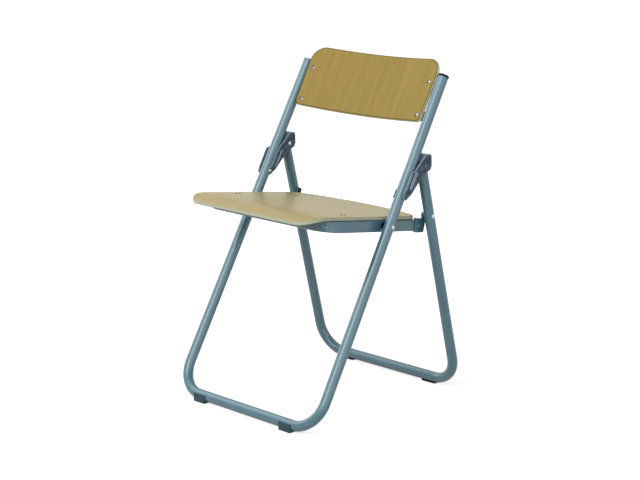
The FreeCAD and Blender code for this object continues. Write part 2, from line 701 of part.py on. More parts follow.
def seat_section():
    """Seat sheet bent down at the front, wider and longer than the seat."""
    turn = math.radians(SEAT_ROLL_SWEEP)
    centre = Vector(0, SEAT_ROLL_START, SEAT_TOP - SEAT_ROLL_RADIUS)

    def roll_point(radius, share):
        angle = turn * share
        return centre + Vector(0, -radius * math.sin(angle), radius * math.cos(angle))

    top = [roll_point(SEAT_ROLL_RADIUS, share) for share in (0, 0.5, 1)]
    under = [roll_point(SEAT_ROLL_RADIUS - SEAT_THICKNESS, share) for share in (0, 0.5, 1)]
    rear_top = Vector(0, SEAT_REAR + SEAT_THICKNESS, SEAT_TOP)
    rear_under = rear_top - Z_AXIS * SEAT_THICKNESS
    edges = [Part.Arc(*top).toShape()]
    edges += segment(top[2], under[2])
    edges.append(Part.Arc(under[2], under[1], under[0]).toShape())
    edges += segment(under[0], rear_under)
    edges += segment(rear_under, rear_top)
    edges += segment(rear_top, top[0])
    face = Part.Face(Part.Wire(Part.__sortEdges__(edges)))
    face.translate(X_AXIS * -LEG_HALF_WIDTH)
    return face.extrude(X_AXIS * 2 * LEG_HALF_WIDTH)


def seat_corner():
    """Centre of the seat's left rear corner arc, seen from above."""
    corner_x = SEAT_HALF_WIDTH - SEAT_REAR_CORNER
    corner_reach = SEAT_REAR_RADIUS - SEAT_REAR_CORNER
    corner_y = SEAT_REAR - SEAT_REAR_RADIUS + math.sqrt(corner_reach ** 2 - corner_x ** 2)
    return Vector(corner_x, corner_y, 0)


def seat_corner_y(x):
    """Rear edge of the seat at an X position on its left rear corner."""
    across = x - seat_corner().x
    return seat_corner().y + math.sqrt(SEAT_REAR_CORNER ** 2 - across ** 2)


def seat_plan():
    """Seat outline seen from above, as a deep block."""
    corner = seat_corner()
    toward = (corner - Vector(0, SEAT_REAR - SEAT_REAR_RADIUS, 0)).normalize()
    tangent = corner + toward * SEAT_REAR_CORNER
    side_end = Vector(SEAT_HALF_WIDTH, corner.y, 0)
    half_way = (toward + X_AXIS).normalize()
    corner_middle = corner + half_way * SEAT_REAR_CORNER
    front = Vector(SEAT_HALF_WIDTH, SEAT_FRONT, 0)
    front_arc = corner_arc(Vector(0, SEAT_FRONT, 0), front, side_end, SEAT_FRONT_CORNER)

    def flip(point):
        return Vector(-point.x, point.y, point.z)

    edges = segment(flip(front_arc[0]), front_arc[0])
    edges.append(Part.Arc(*front_arc).toShape())
    edges += segment(front_arc[2], side_end)
    edges.append(Part.Arc(side_end, corner_middle, tangent).toShape())
    edges.append(Part.Arc(tangent, Vector(0, SEAT_REAR, 0), flip(tangent)).toShape())
    edges.append(Part.Arc(flip(tangent), flip(corner_middle), flip(side_end)).toShape())
    edges += segment(flip(side_end), flip(front_arc[2]))
    edges.append(Part.Arc(*[flip(point) for point in reversed(front_arc)]).toShape())
    face = Part.Face(Part.Wire(edges))
    face.translate(Z_AXIS * -SEAT_ROLL_RADIUS)
    return face.extrude(Z_AXIS * 2 * SEAT_ROLL_RADIUS)


def is_seat_rim(edge):
    """Whether a seat edge runs around the top or bottom outline."""
    box = edge.BoundBox
    upright = box.XLength < 1e-4 and box.YLength < 1e-4
    crease = box.YLength < 1e-4 and abs(box.YMin - SEAT_ROLL_START) < 1e-3
    return not upright and not crease


def seat_panel():
    """Plywood seat with a rolled front edge, eased rim and rivet holes."""
    panel = seat_section().common(seat_plan())
    panel = panel.makeFillet(SEAT_EDGE_FILLET, [edge for edge in panel.Edges if is_seat_rim(edge)])
    holes = []
    for point in seat_rivet_points():
        start = Vector(point.x, point.y, 0)
        holes.append(rod(SEAT_RIVET_RADIUS + RIVET_HOLE_CLEARANCE, start, Z_AXIS, 2 * SEAT_TOP))
    return placed(panel.cut(holes), SEAT)


def seat_rivet_points():
    """Centres of the seat rivets, in pairs along the rails, in the seat's frame."""
    points = []
    for _, sign in SIDES:
        for middle in (SEAT_TAB_FRONT_Y, SEAT_TAB_REAR_Y):
            for step in (-0.5, 0.5):
                points.append(Vector(sign * SEAT_RIVET_X, middle + step * SEAT_RIVET_PITCH, SEAT_TOP))
    return points


def seat_rivets():
    """Seat rivets through plywood and tabs, as one group of separate solids."""
    solids = []
    length = SEAT_THICKNESS + TAB_THICKNESS
    for top in seat_rivet_points():
        bottom = top - Z_AXIS * length
        shank = rod(SEAT_RIVET_RADIUS, bottom, Z_AXIS, length)
        head = domed_head(SEAT_RIVET_HEAD_RADIUS, SEAT_RIVET_HEAD_HEIGHT, top, Z_AXIS)
        tail = domed_head(SEAT_RIVET_HEAD_RADIUS, SEAT_RIVET_TAIL_HEIGHT, bottom, Z_AXIS * -1)
        solids.append(placed(shank.fuse([head, tail]).removeSplitter(), SEAT))
    return Part.makeCompound(solids)


def seat_tab(middle):
    """Left angle tab from the rail's inner face to under the seat."""
    length = 2 * SEAT_TAB_HALF_LENGTH
    start_y = middle - SEAT_TAB_HALF_LENGTH
    width = RAIL_INNER_X - SEAT_TAB_INNER_X
    shelf_corner = Vector(SEAT_TAB_INNER_X, start_y, RAIL_TOP - TAB_THICKNESS)
    shelf = Part.makeBox(width, length, TAB_THICKNESS, shelf_corner)
    wall_corner = Vector(RAIL_INNER_X - TAB_THICKNESS, start_y, RAIL_TOP - SEAT_TAB_DROP)
    wall = Part.makeBox(TAB_THICKNESS, length, SEAT_TAB_DROP, wall_corner)
    tab = shelf.fuse(wall).removeSplitter()
    holes = []
    for step in (-0.5, 0.5):
        start = Vector(SEAT_RIVET_X, middle + step * SEAT_RIVET_PITCH, 0)
        holes.append(rod(SEAT_RIVET_RADIUS + RIVET_HOLE_CLEARANCE, start, Z_AXIS, SEAT_TOP))
    return placed(tab.cut(holes), SEAT)


def bracket():
    """Left bracket clipped over the rail's end, with an ear up to the rear pivot."""
    low = RAIL_BOTTOM - BRACKET_THICKNESS
    high = RAIL_TOP + BRACKET_THICKNESS
    ear_front = EAR.y - EAR_RADIUS
    ear_rear = EAR.y + EAR_RADIUS
    ear_top = EAR.z + EAR_RADIUS
    outline = (
        (BRACKET_FRONT_Y, low, BRACKET_CORNER),
        (BRACKET_REAR_Y, low, BRACKET_CORNER),
        (ear_rear, 0.0, EAR_RADIUS),
        (ear_rear, ear_top, EAR_RADIUS),
        (ear_front, ear_top, EAR_RADIUS),
        (ear_front, high, EAR_ROOT_CORNER),
        (BRACKET_FRONT_Y, high, BRACKET_CORNER),
    )
    points = [Vector(RAIL_OUTER_X, y, z) for y, z, _ in outline]
    plate = rounded_outline(points, [radius for _, _, radius in outline])
    plate = plate.extrude(X_AXIS * BRACKET_THICKNESS)
    depth = RAIL_WIDTH + BRACKET_THICKNESS
    flange_front = seat_corner_y(RAIL_INNER_X) + BRACKET_SEAT_CLEARANCE
    flange_length = BRACKET_REAR_Y - BRACKET_CORNER - flange_front
    flanges = []
    for z in (low, RAIL_TOP):
        corner = Vector(RAIL_INNER_X, flange_front, z)
        flanges.append(Part.makeBox(depth, flange_length, BRACKET_THICKNESS, corner))
    body = plate.fuse(flanges).removeSplitter()
    hole = cross_rod(PIVOT_RADIUS + RUNNING_CLEARANCE, EAR, RAIL_INNER_X, LEG_INNER_X)
    return placed(body.cut([hole] + bracket_rivet_holes()), SEAT)


def bracket_rivet():
    """Left blind rivet that holds the bracket on the rail."""
    start = RAIL_OUTER_X - RAIL_WALL - BRACKET_RIVET_TAIL
    shank = cross_rod(BRACKET_RIVET_RADIUS, BRACKET_RIVET, start, BRACKET_OUTER_X)
    base = BRACKET_RIVET + X_AXIS * BRACKET_OUTER_X
    head = domed_head(BRACKET_RIVET_HEAD_RADIUS, BRACKET_RIVET_HEAD_HEIGHT, base, X_AXIS)
    return placed(shank.fuse(head).removeSplitter(), SEAT)


def rear_washer(radius, from_x, to_x):
    """Left washer on the rear pivot, between two X positions."""
    disc = cross_rod(radius, REAR_PIVOT, from_x, to_x)
    return disc.cut(through_rod(PIVOT_RADIUS + RUNNING_CLEARANCE, REAR_PIVOT))


def outer_rear_washer():
    """Left washer between the bracket's ear and the rear leg."""
    return rear_washer(OUTER_WASHER_RADIUS, BRACKET_OUTER_X, LEG_INNER_X - SIDE_CLEARANCE)


def inner_rear_washer():
    """Left washer between the bracket's ear and the stud's head."""
    return rear_washer(INNER_WASHER_RADIUS, RAIL_OUTER_X - INNER_WASHER_THICKNESS, RAIL_OUTER_X)


def rear_stud():
    """Left stud in the bracket's ear, ending short of the rear leg."""
    inner = RAIL_OUTER_X - INNER_WASHER_THICKNESS
    shank = cross_rod(PIVOT_RADIUS, REAR_PIVOT, inner, LEG_INNER_X - SIDE_CLEARANCE)
    base = Vector(inner, REAR_PIVOT.y, REAR_PIVOT.z)
    head = domed_head(STUD_HEAD_RADIUS, STUD_HEAD_HEIGHT, base, X_AXIS * -1)
    return shank.fuse(head).removeSplitter()


def rear_pivot_rivet():
    """Left rivet in the rear leg, with its head outside and its end at the leg's inner side."""
    shank = cross_rod(PIVOT_RADIUS, REAR_PIVOT, LEG_INNER_X, LEG_OUTER_X)
    base = Vector(LEG_OUTER_X, REAR_PIVOT.y, REAR_PIVOT.z)
    head = domed_head(PIVOT_HEAD_RADIUS, PIVOT_HEAD_HEIGHT, base, X_AXIS)
    return shank.fuse(head).removeSplitter()


def rail_plug():
    """Left plug that closes the rail's rear end."""
    plate = rounded_rectangle(RAIL_WIDTH, RAIL_HEIGHT, RAIL_CORNER).extrude(Y_AXIS * RAIL_PLUG_PLATE)
    inset = RAIL_WALL + PLUG_CLEARANCE
    section = rounded_rectangle(RAIL_WIDTH - 2 * inset, RAIL_HEIGHT - 2 * inset, RAIL_CORNER - inset)
    insert = section.extrude(Y_AXIS * -RAIL_PLUG_INSERT)
    plug = plate.fuse(insert).removeSplitter()
    return placed(plug, SEAT.multiply(Placement(Vector(RAIL_CENTRE_X, RAIL_REAR, -RAIL_DROP), Rotation())))


def link_outline(at_x, front):
    """Outline face of a hinge link's plate at an X position, in the link's frame."""
    corners = LINK_REAR + front
    points = []
    for share, along, behind, _ in corners:
        points.append(Vector(at_x, behind + share * LINK_TOP_PIVOT.y, along + share * LINK_TOP_PIVOT.z))
    return rounded_outline(points, [corner[-1] for corner in corners])


def link_bar(skin, outward, behind, width, start, end, height):
    """Raised bar with round ends and edges on a link plate's skin, along the tube."""
    centre = Vector(0, behind, start + width / 2)
    length = end - start - width
    bar = Part.makeBox(height, width, length, Vector(0, -width / 2, 0))
    bar.translate(centre)
    caps = []
    for shift in (0, length):
        caps.append(rod(width / 2, centre + Z_AXIS * shift, X_AXIS, height))
    bar = bar.fuse(caps).removeSplitter()
    top = [edge for edge in bar.Edges if edge.BoundBox.XMin > height - LINK_BAR_FILLET]
    bar = bar.makeFillet(LINK_BAR_FILLET, top)
    return placed(on_side(bar, outward), Placement(X_AXIS * skin, Rotation()))


def link_plate(inner_x, outward, front):
    """One side plate of a hinge link with a raised rim."""
    plate = link_outline(inner_x, front).extrude(X_AXIS * outward * LINK_PLATE)
    rim_face = link_outline(inner_x + outward * LINK_PLATE, front)
    recess = rim_face.makeOffset2D(-LINK_RIM_WIDTH)
    rim = rim_face.cut(recess).extrude(X_AXIS * outward * LINK_RIM)
    return plate.fuse(rim)


def link_ribs():
    """Raised strip along the tube and broad ridge on the outer plate, and rib on the inner plate."""
    strip_middle = LINK_STRIP_FRONT + LINK_STRIP_WIDTH / 2
    strip_size = (strip_middle, LINK_STRIP_WIDTH, LINK_STRIP_START, LINK_STRIP_END, LINK_RIM)
    ridge_size = (LINK_RIDGE_BEHIND, LINK_RIDGE_WIDTH, LINK_RIDGE_START, LINK_RIDGE_END, LINK_RIDGE_HEIGHT)
    rib_size = (LINK_RIB_BEHIND, LINK_RIB_WIDTH, LINK_RIB_START, LINK_RIB_END, LINK_RIM)
    return [
        link_bar(LINK_OUTER_SKIN, 1, *strip_size),
        link_bar(LINK_OUTER_SKIN, 1, *ridge_size),
        link_bar(LINK_INNER_SKIN, -1, *rib_size),
    ]


def link_dimples():
    """Row of round dimples pressed into the inner plate of a hinge link."""
    dimples = []
    for step in range(LINK_DIMPLE_COUNT):
        along = LINK_DIMPLE_START + step * LINK_DIMPLE_PITCH
        centre = Vector(0, LINK_DIMPLE_BEHIND, along)
        deep = LINK_INNER_SKIN + LINK_DIMPLE_DEPTH
        dimples.append(cross_rod(LINK_DIMPLE_RADIUS, centre, LINK_INNER_SKIN - 2 * LINK_RIM, deep))
    return dimples


def link_web():
    """Wall that joins the two plates of a hinge link, behind the tube and over the leg's top."""
    width = LINK_OUTER_X - LINK_INNER_X
    middle = TUBE_RADIUS + LINK_WEB_CLEARANCE + LINK_WEB / 2
    top = [LINK_TOP_PIVOT + Vector(0, behind, along) for _, along, behind, _ in LINK_REAR[-2:]]
    points = [
        Vector(LINK_INNER_X, middle, LINK_WEB_BOTTOM),
        Vector(LINK_INNER_X, middle, top[1].z - LINK_WEB),
        Vector(LINK_INNER_X, top[0].y - 2 * LINK_WEB, top[0].z - 2 * LINK_WEB),
    ]
    walls = []
    for start, end in zip(points, points[1:]):
        side = (end - start).normalize().cross(X_AXIS) * (LINK_WEB / 2)
        corners = [start + side, end + side, end - side, start - side]
        face = Part.Face(Part.makePolygon(corners + corners[:1]))
        walls.append(face.extrude(X_AXIS * width))
    elbow = rod(LINK_WEB / 2, points[1], X_AXIS, width)
    return walls[0].fuse([walls[1], elbow])


def hinge_link():
    """Left hinge link: two ribbed plates joined by a web, with both pivot holes."""
    inner = link_plate(LINK_INNER_X, -1, LINK_INNER_FRONT)
    outer = link_plate(LINK_OUTER_X, 1, LINK_OUTER_FRONT)
    body = inner.fuse([outer, link_web()] + link_ribs()).removeSplitter()
    cuts = link_dimples()
    for pivot in (Vector(), LINK_TOP_PIVOT):
        cuts.append(through_rod(PIVOT_RADIUS + RUNNING_CLEARANCE, pivot))
        for skin, outward in ((LINK_INNER_SKIN, -1), (LINK_OUTER_SKIN, 1)):
            start = Vector(skin, pivot.y, pivot.z)
            cuts.append(rod(LINK_BOSS_RADIUS, start, X_AXIS * outward, 2 * LINK_RIM))
    return placed(body.cut(cuts), LINK)


def make_nodes():
    """Every piece of the chair, by node name."""
    nodes = {
        "front_frame": front_frame(),
        "rear_frame": rear_frame(),
        "back_panel": back_panel(),
        "back_screws": on_back_screws(back_screw),
        "back_washers": on_back_screws(back_washer),
        "back_nuts": on_back_screws(back_nut),
        "seat_pivot_rivets": both_sides(seat_pivot_rivet()),
        "link_pivot_rivets": both_sides(link_rivet(LINK_PIVOT)),
        "leg_pivot_rivets": both_sides(link_rivet(LEG_PIVOT)),
        "rear_pivot_rivets": both_sides(rear_pivot_rivet()),
        "rear_pivot_studs": both_sides(rear_stud()),
        "rear_outer_washers": both_sides(outer_rear_washer()),
        "rear_inner_washers": both_sides(inner_rear_washer()),
        "seat_frame": seat_frame(),
        "seat_panel": seat_panel(),
        "seat_rivets": seat_rivets(),
        "bracket_rivets": both_sides(bracket_rivet()),
    }
    left_pieces = {
        "tube_cap": tube_cap(),
        "front_foot": front_foot(),
        "rear_foot": rear_foot(),
        "back_tab_upper": back_tab(BACK_SCREW_UPPER),
        "back_tab_lower": back_tab(BACK_SCREW_LOWER),
        "seat_pivot_spacer": seat_pivot_spacer(),
        "seat_tab_front": seat_tab(SEAT_TAB_FRONT_Y),
        "seat_tab_rear": seat_tab(SEAT_TAB_REAR_Y),
        "rear_pivot_bracket": bracket(),
        "rail_plug": rail_plug(),
        "hinge_link": hinge_link(),
        "leg_plug": leg_plug(),
    }
    for name, shape in left_pieces.items():
        for side, sign in SIDES:
            nodes[name + "_" + side] = on_side(shape, sign)
    return nodes


def main():
    """Write one STEP file for each node."""
    os.makedirs("parts", exist_ok=True)
    for name, shape in make_nodes().items():
        shape.exportStep("parts/" + name + ".step")
        box = shape.BoundBox
        print(name, len(shape.Solids), shape.isValid(), round(shape.Volume, 1),
              [round(v, 2) for v in (box.XMin, box.XMax, box.YMin, box.YMax, box.ZMin, box.ZMax)])


main()
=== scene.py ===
"""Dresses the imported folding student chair: finishes, small hardware, studio and camera."""

from __future__ import annotations

import json
import logging
import math
from collections.abc import Callable, Sequence
from dataclasses import dataclass, field
from enum import Enum

import bmesh
import bpy
from mathutils import Matrix, Vector

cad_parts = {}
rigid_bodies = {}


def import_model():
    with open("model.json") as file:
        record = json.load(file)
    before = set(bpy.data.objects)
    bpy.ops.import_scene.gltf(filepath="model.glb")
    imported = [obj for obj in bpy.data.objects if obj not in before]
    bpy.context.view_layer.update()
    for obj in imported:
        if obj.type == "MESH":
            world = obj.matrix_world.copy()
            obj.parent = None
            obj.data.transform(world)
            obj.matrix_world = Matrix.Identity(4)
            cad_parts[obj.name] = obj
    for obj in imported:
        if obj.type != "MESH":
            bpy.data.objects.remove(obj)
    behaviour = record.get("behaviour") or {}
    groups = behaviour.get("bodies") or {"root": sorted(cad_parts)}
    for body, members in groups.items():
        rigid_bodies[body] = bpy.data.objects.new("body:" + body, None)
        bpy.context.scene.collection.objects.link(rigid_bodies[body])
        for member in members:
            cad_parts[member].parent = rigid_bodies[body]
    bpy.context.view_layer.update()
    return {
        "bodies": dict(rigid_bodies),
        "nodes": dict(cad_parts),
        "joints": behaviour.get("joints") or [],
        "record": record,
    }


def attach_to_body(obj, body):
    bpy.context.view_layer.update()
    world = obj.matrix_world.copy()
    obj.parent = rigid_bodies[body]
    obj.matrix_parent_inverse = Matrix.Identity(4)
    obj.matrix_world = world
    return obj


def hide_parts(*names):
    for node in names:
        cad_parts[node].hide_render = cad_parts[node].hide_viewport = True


LOG = logging.getLogger("chair")
MM = 0.001
MERGE_DISTANCE = 0.001 * MM
SEAT_TILT_DEGREES = 8.0

Colour = tuple[float, float, float, float]
Socket = bpy.types.NodeSocket
Source = Socket | float | tuple


def srgb(red: int, green: int, blue: int) -> Colour:
    """Linear colour of a screen colour given in 0 to 255.

    Args:
        red: Red level on screen.
        green: Green level on screen.
        blue: Blue level on screen.

    Returns:
        Linear red, green, blue and an alpha of one.
    """

    def linear(level: int) -> float:
        """Linear value of one level."""
        share = level / 255
        return share / 12.92 if share <= 0.04045 else ((share + 0.055) / 1.055) ** 2.4

    return linear(red), linear(green), linear(blue), 1.0


class Slot(Enum):
    """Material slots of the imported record."""

    FRAME_PAINT = "frame_paint"
    LINK_PAINT = "link_paint"
    BACK_PLYWOOD = "back_plywood"
    SEAT_PLYWOOD = "seat_plywood"
    BRIGHT_STEEL = "bright_steel"
    ZINC_STEEL = "zinc_steel"
    RIVET_STEEL = "rivet_steel"
    BLACK_STEEL = "black_steel"
    BLACK_PLASTIC = "black_plastic"
    GREY_PLASTIC = "grey_plastic"


class Body(Enum):
    """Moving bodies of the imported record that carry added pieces."""

    FRONT = "front_assembly"
    SEAT = "seat_assembly"


class Side(Enum):
    """Sides of the chair, with the sign of their X."""

    LEFT = 1
    RIGHT = -1

    @property
    def word(self) -> str:
        """Side's name as used in piece names."""
        return self.name.lower()


class Board:
    """Adds and links nodes in one shader tree."""

    def __init__(self, tree: bpy.types.NodeTree) -> None:
        """Keep the tree to work on."""
        self.tree = tree

    def node(self, kind: str, **settings: object) -> bpy.types.Node:
        """New node with its own settings.

        Args:
            kind: Blender's node type.
            settings: Attributes to set on the node.

        Returns:
            The new node.
        """
        made = self.tree.nodes.new(kind)
        for name, value in settings.items():
            setattr(made, name, value)
        return made

    def feed(self, target: Socket, source: Source) -> None:
        """Link a socket into another one, or set a plain value on it.

        Args:
            target: Input socket.
            source: Output socket or value.
        """
        if isinstance(source, Socket):
            self.tree.links.new(source, target)
        else:
            target.default_value = source

    def math(self, operation: str, first: Source, second: Source = 0.0, third: Source = 0.0) -> Socket:
        """Result of one Math node.

        Args:
            operation: Math operation's name.
            first: First operand.
            second: Second operand.
            third: Third operand, for operations that take it.

        Returns:
            The node's value socket.
        """
        made = self.node("ShaderNodeMath", operation=operation)
        for socket, value in zip(made.inputs, (first, second, third)):
            self.feed(socket, value)
        return made.outputs[0]

    def mix(self, factor: Source, first: Source, second: Source) -> Socket:
        """Colour between two colours.

        Args:
            factor: Share of the second colour.
            first: Colour at zero.
            second: Colour at one.

        Returns:
            The mixed colour's socket.
        """
        made = self.node("ShaderNodeMix", data_type="RGBA", clamp_factor=True)
        self.feed(made.inputs[0], factor)
        self.feed(made.inputs[6], first)
        self.feed(made.inputs[7], second)
        return made.outputs[2]

    def tint(self, mask: Source, share: float, base: Source, colour: Source) -> Socket:
        """Base colour with another one laid over it, at a share of a mask."""
        return self.mix(self.math("MULTIPLY", mask, share), base, colour)

    def ramp(self, value: Source, low: float, high: float, start: float = 0.0, end: float = 1.0) -> Socket:
        """Smooth step of a value from one range into another.

        Args:
            value: Value to map.
            low: Value that gives start.
            high: Value that gives end.
            start: Result at low.
            end: Result at high.

        Returns:
            The mapped value's socket.
        """
        made = self.node("ShaderNodeMapRange", interpolation_type="SMOOTHSTEP", clamp=True)
        for socket, item in zip(made.inputs, (value, low, high, start, end)):
            self.feed(socket, item)
        return made.outputs[0]

    def stretch(self, vector: Source, scale: Sequence[float]) -> Socket:
        """Coordinates multiplied along each axis.

        Args:
            vector: Coordinates.
            scale: Factor for each axis.

        Returns:
            The scaled coordinates' socket.
        """
        made = self.node("ShaderNodeVectorMath", operation="MULTIPLY")
        self.feed(made.inputs[0], vector)
        self.feed(made.inputs[1], tuple(scale))
        return made.outputs[0]

    def noise(self, vector: Source, scale: Source, detail: float = 2.0, roughness: float = 0.5) -> Socket:
        """Noise value at coordinates.

        Args:
            vector: Coordinates.
            scale: Noise cells per unit.
            detail: Finer octaves.
            roughness: Weight of the finer octaves.

        Returns:
            The noise value's socket.
        """
        made = self.node("ShaderNodeTexNoise")
        self.feed(made.inputs["Vector"], vector)
        self.feed(made.inputs["Scale"], scale)
        made.inputs["Detail"].default_value = detail
        made.inputs["Roughness"].default_value = roughness
        return made.outputs[0]

    def axes(self, vector: Source) -> tuple[Socket, ...]:
        """X, Y and Z of a vector as sockets.

        Args:
            vector: Vector to take apart.

        Returns:
            Three value sockets.
        """
        made = self.node("ShaderNodeSeparateXYZ")
        self.feed(made.inputs[0], vector)
        return tuple(made.outputs)

    def vector(self, x: Source, y: Source, z: Source) -> Socket:
        """Vector made of three values.

        Args:
            x: First value.
            y: Second value.
            z: Third value.

        Returns:
            The vector's socket.
        """
        made = self.node("ShaderNodeCombineXYZ")
        for socket, value in zip(made.inputs, (x, y, z)):
            self.feed(socket, value)
        return made.outputs[0]

    def hypotenuse(self, first: Source, second: Source) -> Socket:
        """Length across two values that stand at right angles."""
        square = self.math("MULTIPLY_ADD", first, first, self.math("MULTIPLY", second, second))
        return self.math("SQRT", square)

    def leaning(self, vector: Source, origin: Vector, lean: float) -> tuple[Socket, ...]:
        """X, Y and Z in a frame that leans back.

        Args:
            vector: Coordinates in the chair's frame.
            origin: Origin of the leaning frame.
            lean: Its turn round X, in radians.

        Returns:
            Three value sockets.
        """
        made = self.node("ShaderNodeMapping", vector_type="TEXTURE")
        made.inputs["Location"].default_value = origin
        made.inputs["Rotation"].default_value = (-lean, 0.0, 0.0)
        self.feed(made.inputs["Vector"], vector)
        return self.axes(made.outputs[0])

    def bump(
        self, height: Source, distance: float, strength: float = 1.0, normal: Source | None = None
    ) -> Socket:
        """Normal bent by a height.

        Args:
            height: Height value.
            distance: Depth of the relief in metres.
            strength: Share of the relief that shows.
            normal: Normal to start from, if any.

        Returns:
            The bent normal's socket.
        """
        made = self.node("ShaderNodeBump")
        made.inputs["Strength"].default_value = strength
        made.inputs["Distance"].default_value = distance
        self.feed(made.inputs["Height"], height)
        if normal is not None:
            self.feed(made.inputs["Normal"], normal)
        return made.outputs[0]

    def here(self) -> Socket:
        """Object coordinates, which stay with the piece when it moves."""
        return self.node("ShaderNodeTexCoord").outputs["Object"]

    def facing(self) -> tuple[Socket, ...]:
        """X, Y and Z of the surface's normal in the piece's own frame."""
        turned = self.node(
            "ShaderNodeVectorTransform", vector_type="NORMAL", convert_from="WORLD", convert_to="OBJECT"
        )
        self.feed(turned.inputs[0], self.node("ShaderNodeNewGeometry").outputs["Normal"])
        return self.axes(turned.outputs[0])


class SocketKind(Enum):
    """Kinds of node group sockets."""

    VALUE = "NodeSocketFloat"
    VECTOR = "NodeSocketVector"


class Effect:
    """Shader node group with named inputs and outputs, built once and placed in many materials."""

    def __init__(self, name: str, inputs: dict[str, SocketKind], outputs: dict[str, SocketKind]) -> None:
        """Make the group and its sockets.

        Args:
            name: Group's name.
            inputs: Input names and kinds.
            outputs: Output names and kinds.
        """
        self.group = bpy.data.node_groups.new(name, "ShaderNodeTree")
        for side, sockets in (("INPUT", inputs), ("OUTPUT", outputs)):
            for label, kind in sockets.items():
                self.group.interface.new_socket(name=label, in_out=side, socket_type=kind.value)
        self.board = Board(self.group)
        self.inputs = self.board.node("NodeGroupInput").outputs
        self.outputs = self.board.node("NodeGroupOutput").inputs

    def put(self, name: str, source: Source) -> None:
        """Feed one of the group's outputs.

        Args:
            name: Output's name.
            source: Socket that gives it.
        """
        self.board.feed(self.outputs[name], source)

    def place(self, board: Board, **values: Source) -> bpy.types.bpy_prop_collection:
        """Add the group to a material.

        Args:
            board: Material's board.
            values: Input values by name, with spaces as underscores.

        Returns:
            The placed node's outputs.
        """
        made = board.node("ShaderNodeGroup", node_tree=self.group)
        for name, value in values.items():
            board.feed(made.inputs[name.replace("_", " ")], value)
        return made.outputs


def paint_skin() -> Effect:
    """Sprayed paint: slow tone drift, fine specks and orange peel.

    Returns:
        Effect with Tone, Speck and Peel outputs.
    """
    value = SocketKind.VALUE
    inputs = {"Vector": SocketKind.VECTOR, "Peel Scale": value}
    effect = Effect("Paint skin", inputs, {"Tone": value, "Speck": value, "Peel": value})
    board = effect.board
    place = effect.inputs["Vector"]
    drift = board.noise(place, 9.0, 3.0)
    cloud = board.noise(place, 55.0, 2.0)
    tone = board.math("MULTIPLY_ADD", cloud, 0.4, board.math("MULTIPLY", drift, 0.6))
    effect.put("Tone", board.ramp(tone, 0.3, 0.7))
    effect.put("Speck", board.ramp(board.noise(place, 900.0, 1.0), 0.70, 0.78))
    effect.put("Peel", board.noise(place, effect.inputs["Peel Scale"], 2.0, 0.4))
    return effect


def edge_wear() -> Effect:
    """Wear along edges: where the surface turns sharply, broken up by noise.

    Returns:
        Effect with Mask and Round outputs.
    """
    value = SocketKind.VALUE
    inputs = {"Vector": SocketKind.VECTOR, "Radius": value, "Amount": value}
    effect = Effect("Edge wear", inputs, {"Mask": value, "Round": SocketKind.VECTOR})
    board = effect.board
    rounded = board.node("ShaderNodeBevel", samples=4)
    board.feed(rounded.inputs["Radius"], effect.inputs["Radius"])
    flat = board.node("ShaderNodeNewGeometry").outputs["Normal"]
    meet = board.node("ShaderNodeVectorMath", operation="DOT_PRODUCT")
    board.feed(meet.inputs[0], rounded.outputs[0])
    board.feed(meet.inputs[1], flat)
    turn = board.ramp(meet.outputs["Value"], 0.99, 0.86)
    broken = board.ramp(board.noise(effect.inputs["Vector"], 260.0, 4.0, 0.65), 0.46, 0.62)
    worn = board.math("MULTIPLY", board.math("MULTIPLY", turn, broken), effect.inputs["Amount"])
    effect.put("Mask", worn)
    effect.put("Round", rounded.outputs[0])
    return effect


def dust_and_crease_shade() -> Effect:
    """Thin dust on surfaces that face up, and grit with painted shade in corners.

    Returns:
        Effect with Dust and Crease Shade And Grit outputs.
    """
    value = SocketKind.VALUE
    inputs = {"Vector": SocketKind.VECTOR, "Reach": value}
    effect = Effect("Settled dust and crease shade", inputs, {"Dust": value, "Grime": value})
    board = effect.board
    upward = board.ramp(board.facing()[2], 0.45, 1.0)
    patch = board.ramp(board.noise(effect.inputs["Vector"], 34.0, 4.0, 0.6), 0.35, 0.75)
    effect.put("Dust", board.math("MULTIPLY", upward, patch))
    # Painted shade: where ambient occlusion finds the surface shut in, this output darkens it, partly grit
    # and partly shade.
    corner = board.node("ShaderNodeAmbientOcclusion", samples=4)
    board.feed(corner.inputs["Distance"], effect.inputs["Reach"])
    shut = board.ramp(corner.outputs["AO"], 0.75, 0.25)
    effect.put("Grime", board.math("MULTIPLY", shut, board.ramp(patch, 0.0, 0.6, 0.4, 1.0)))
    return effect


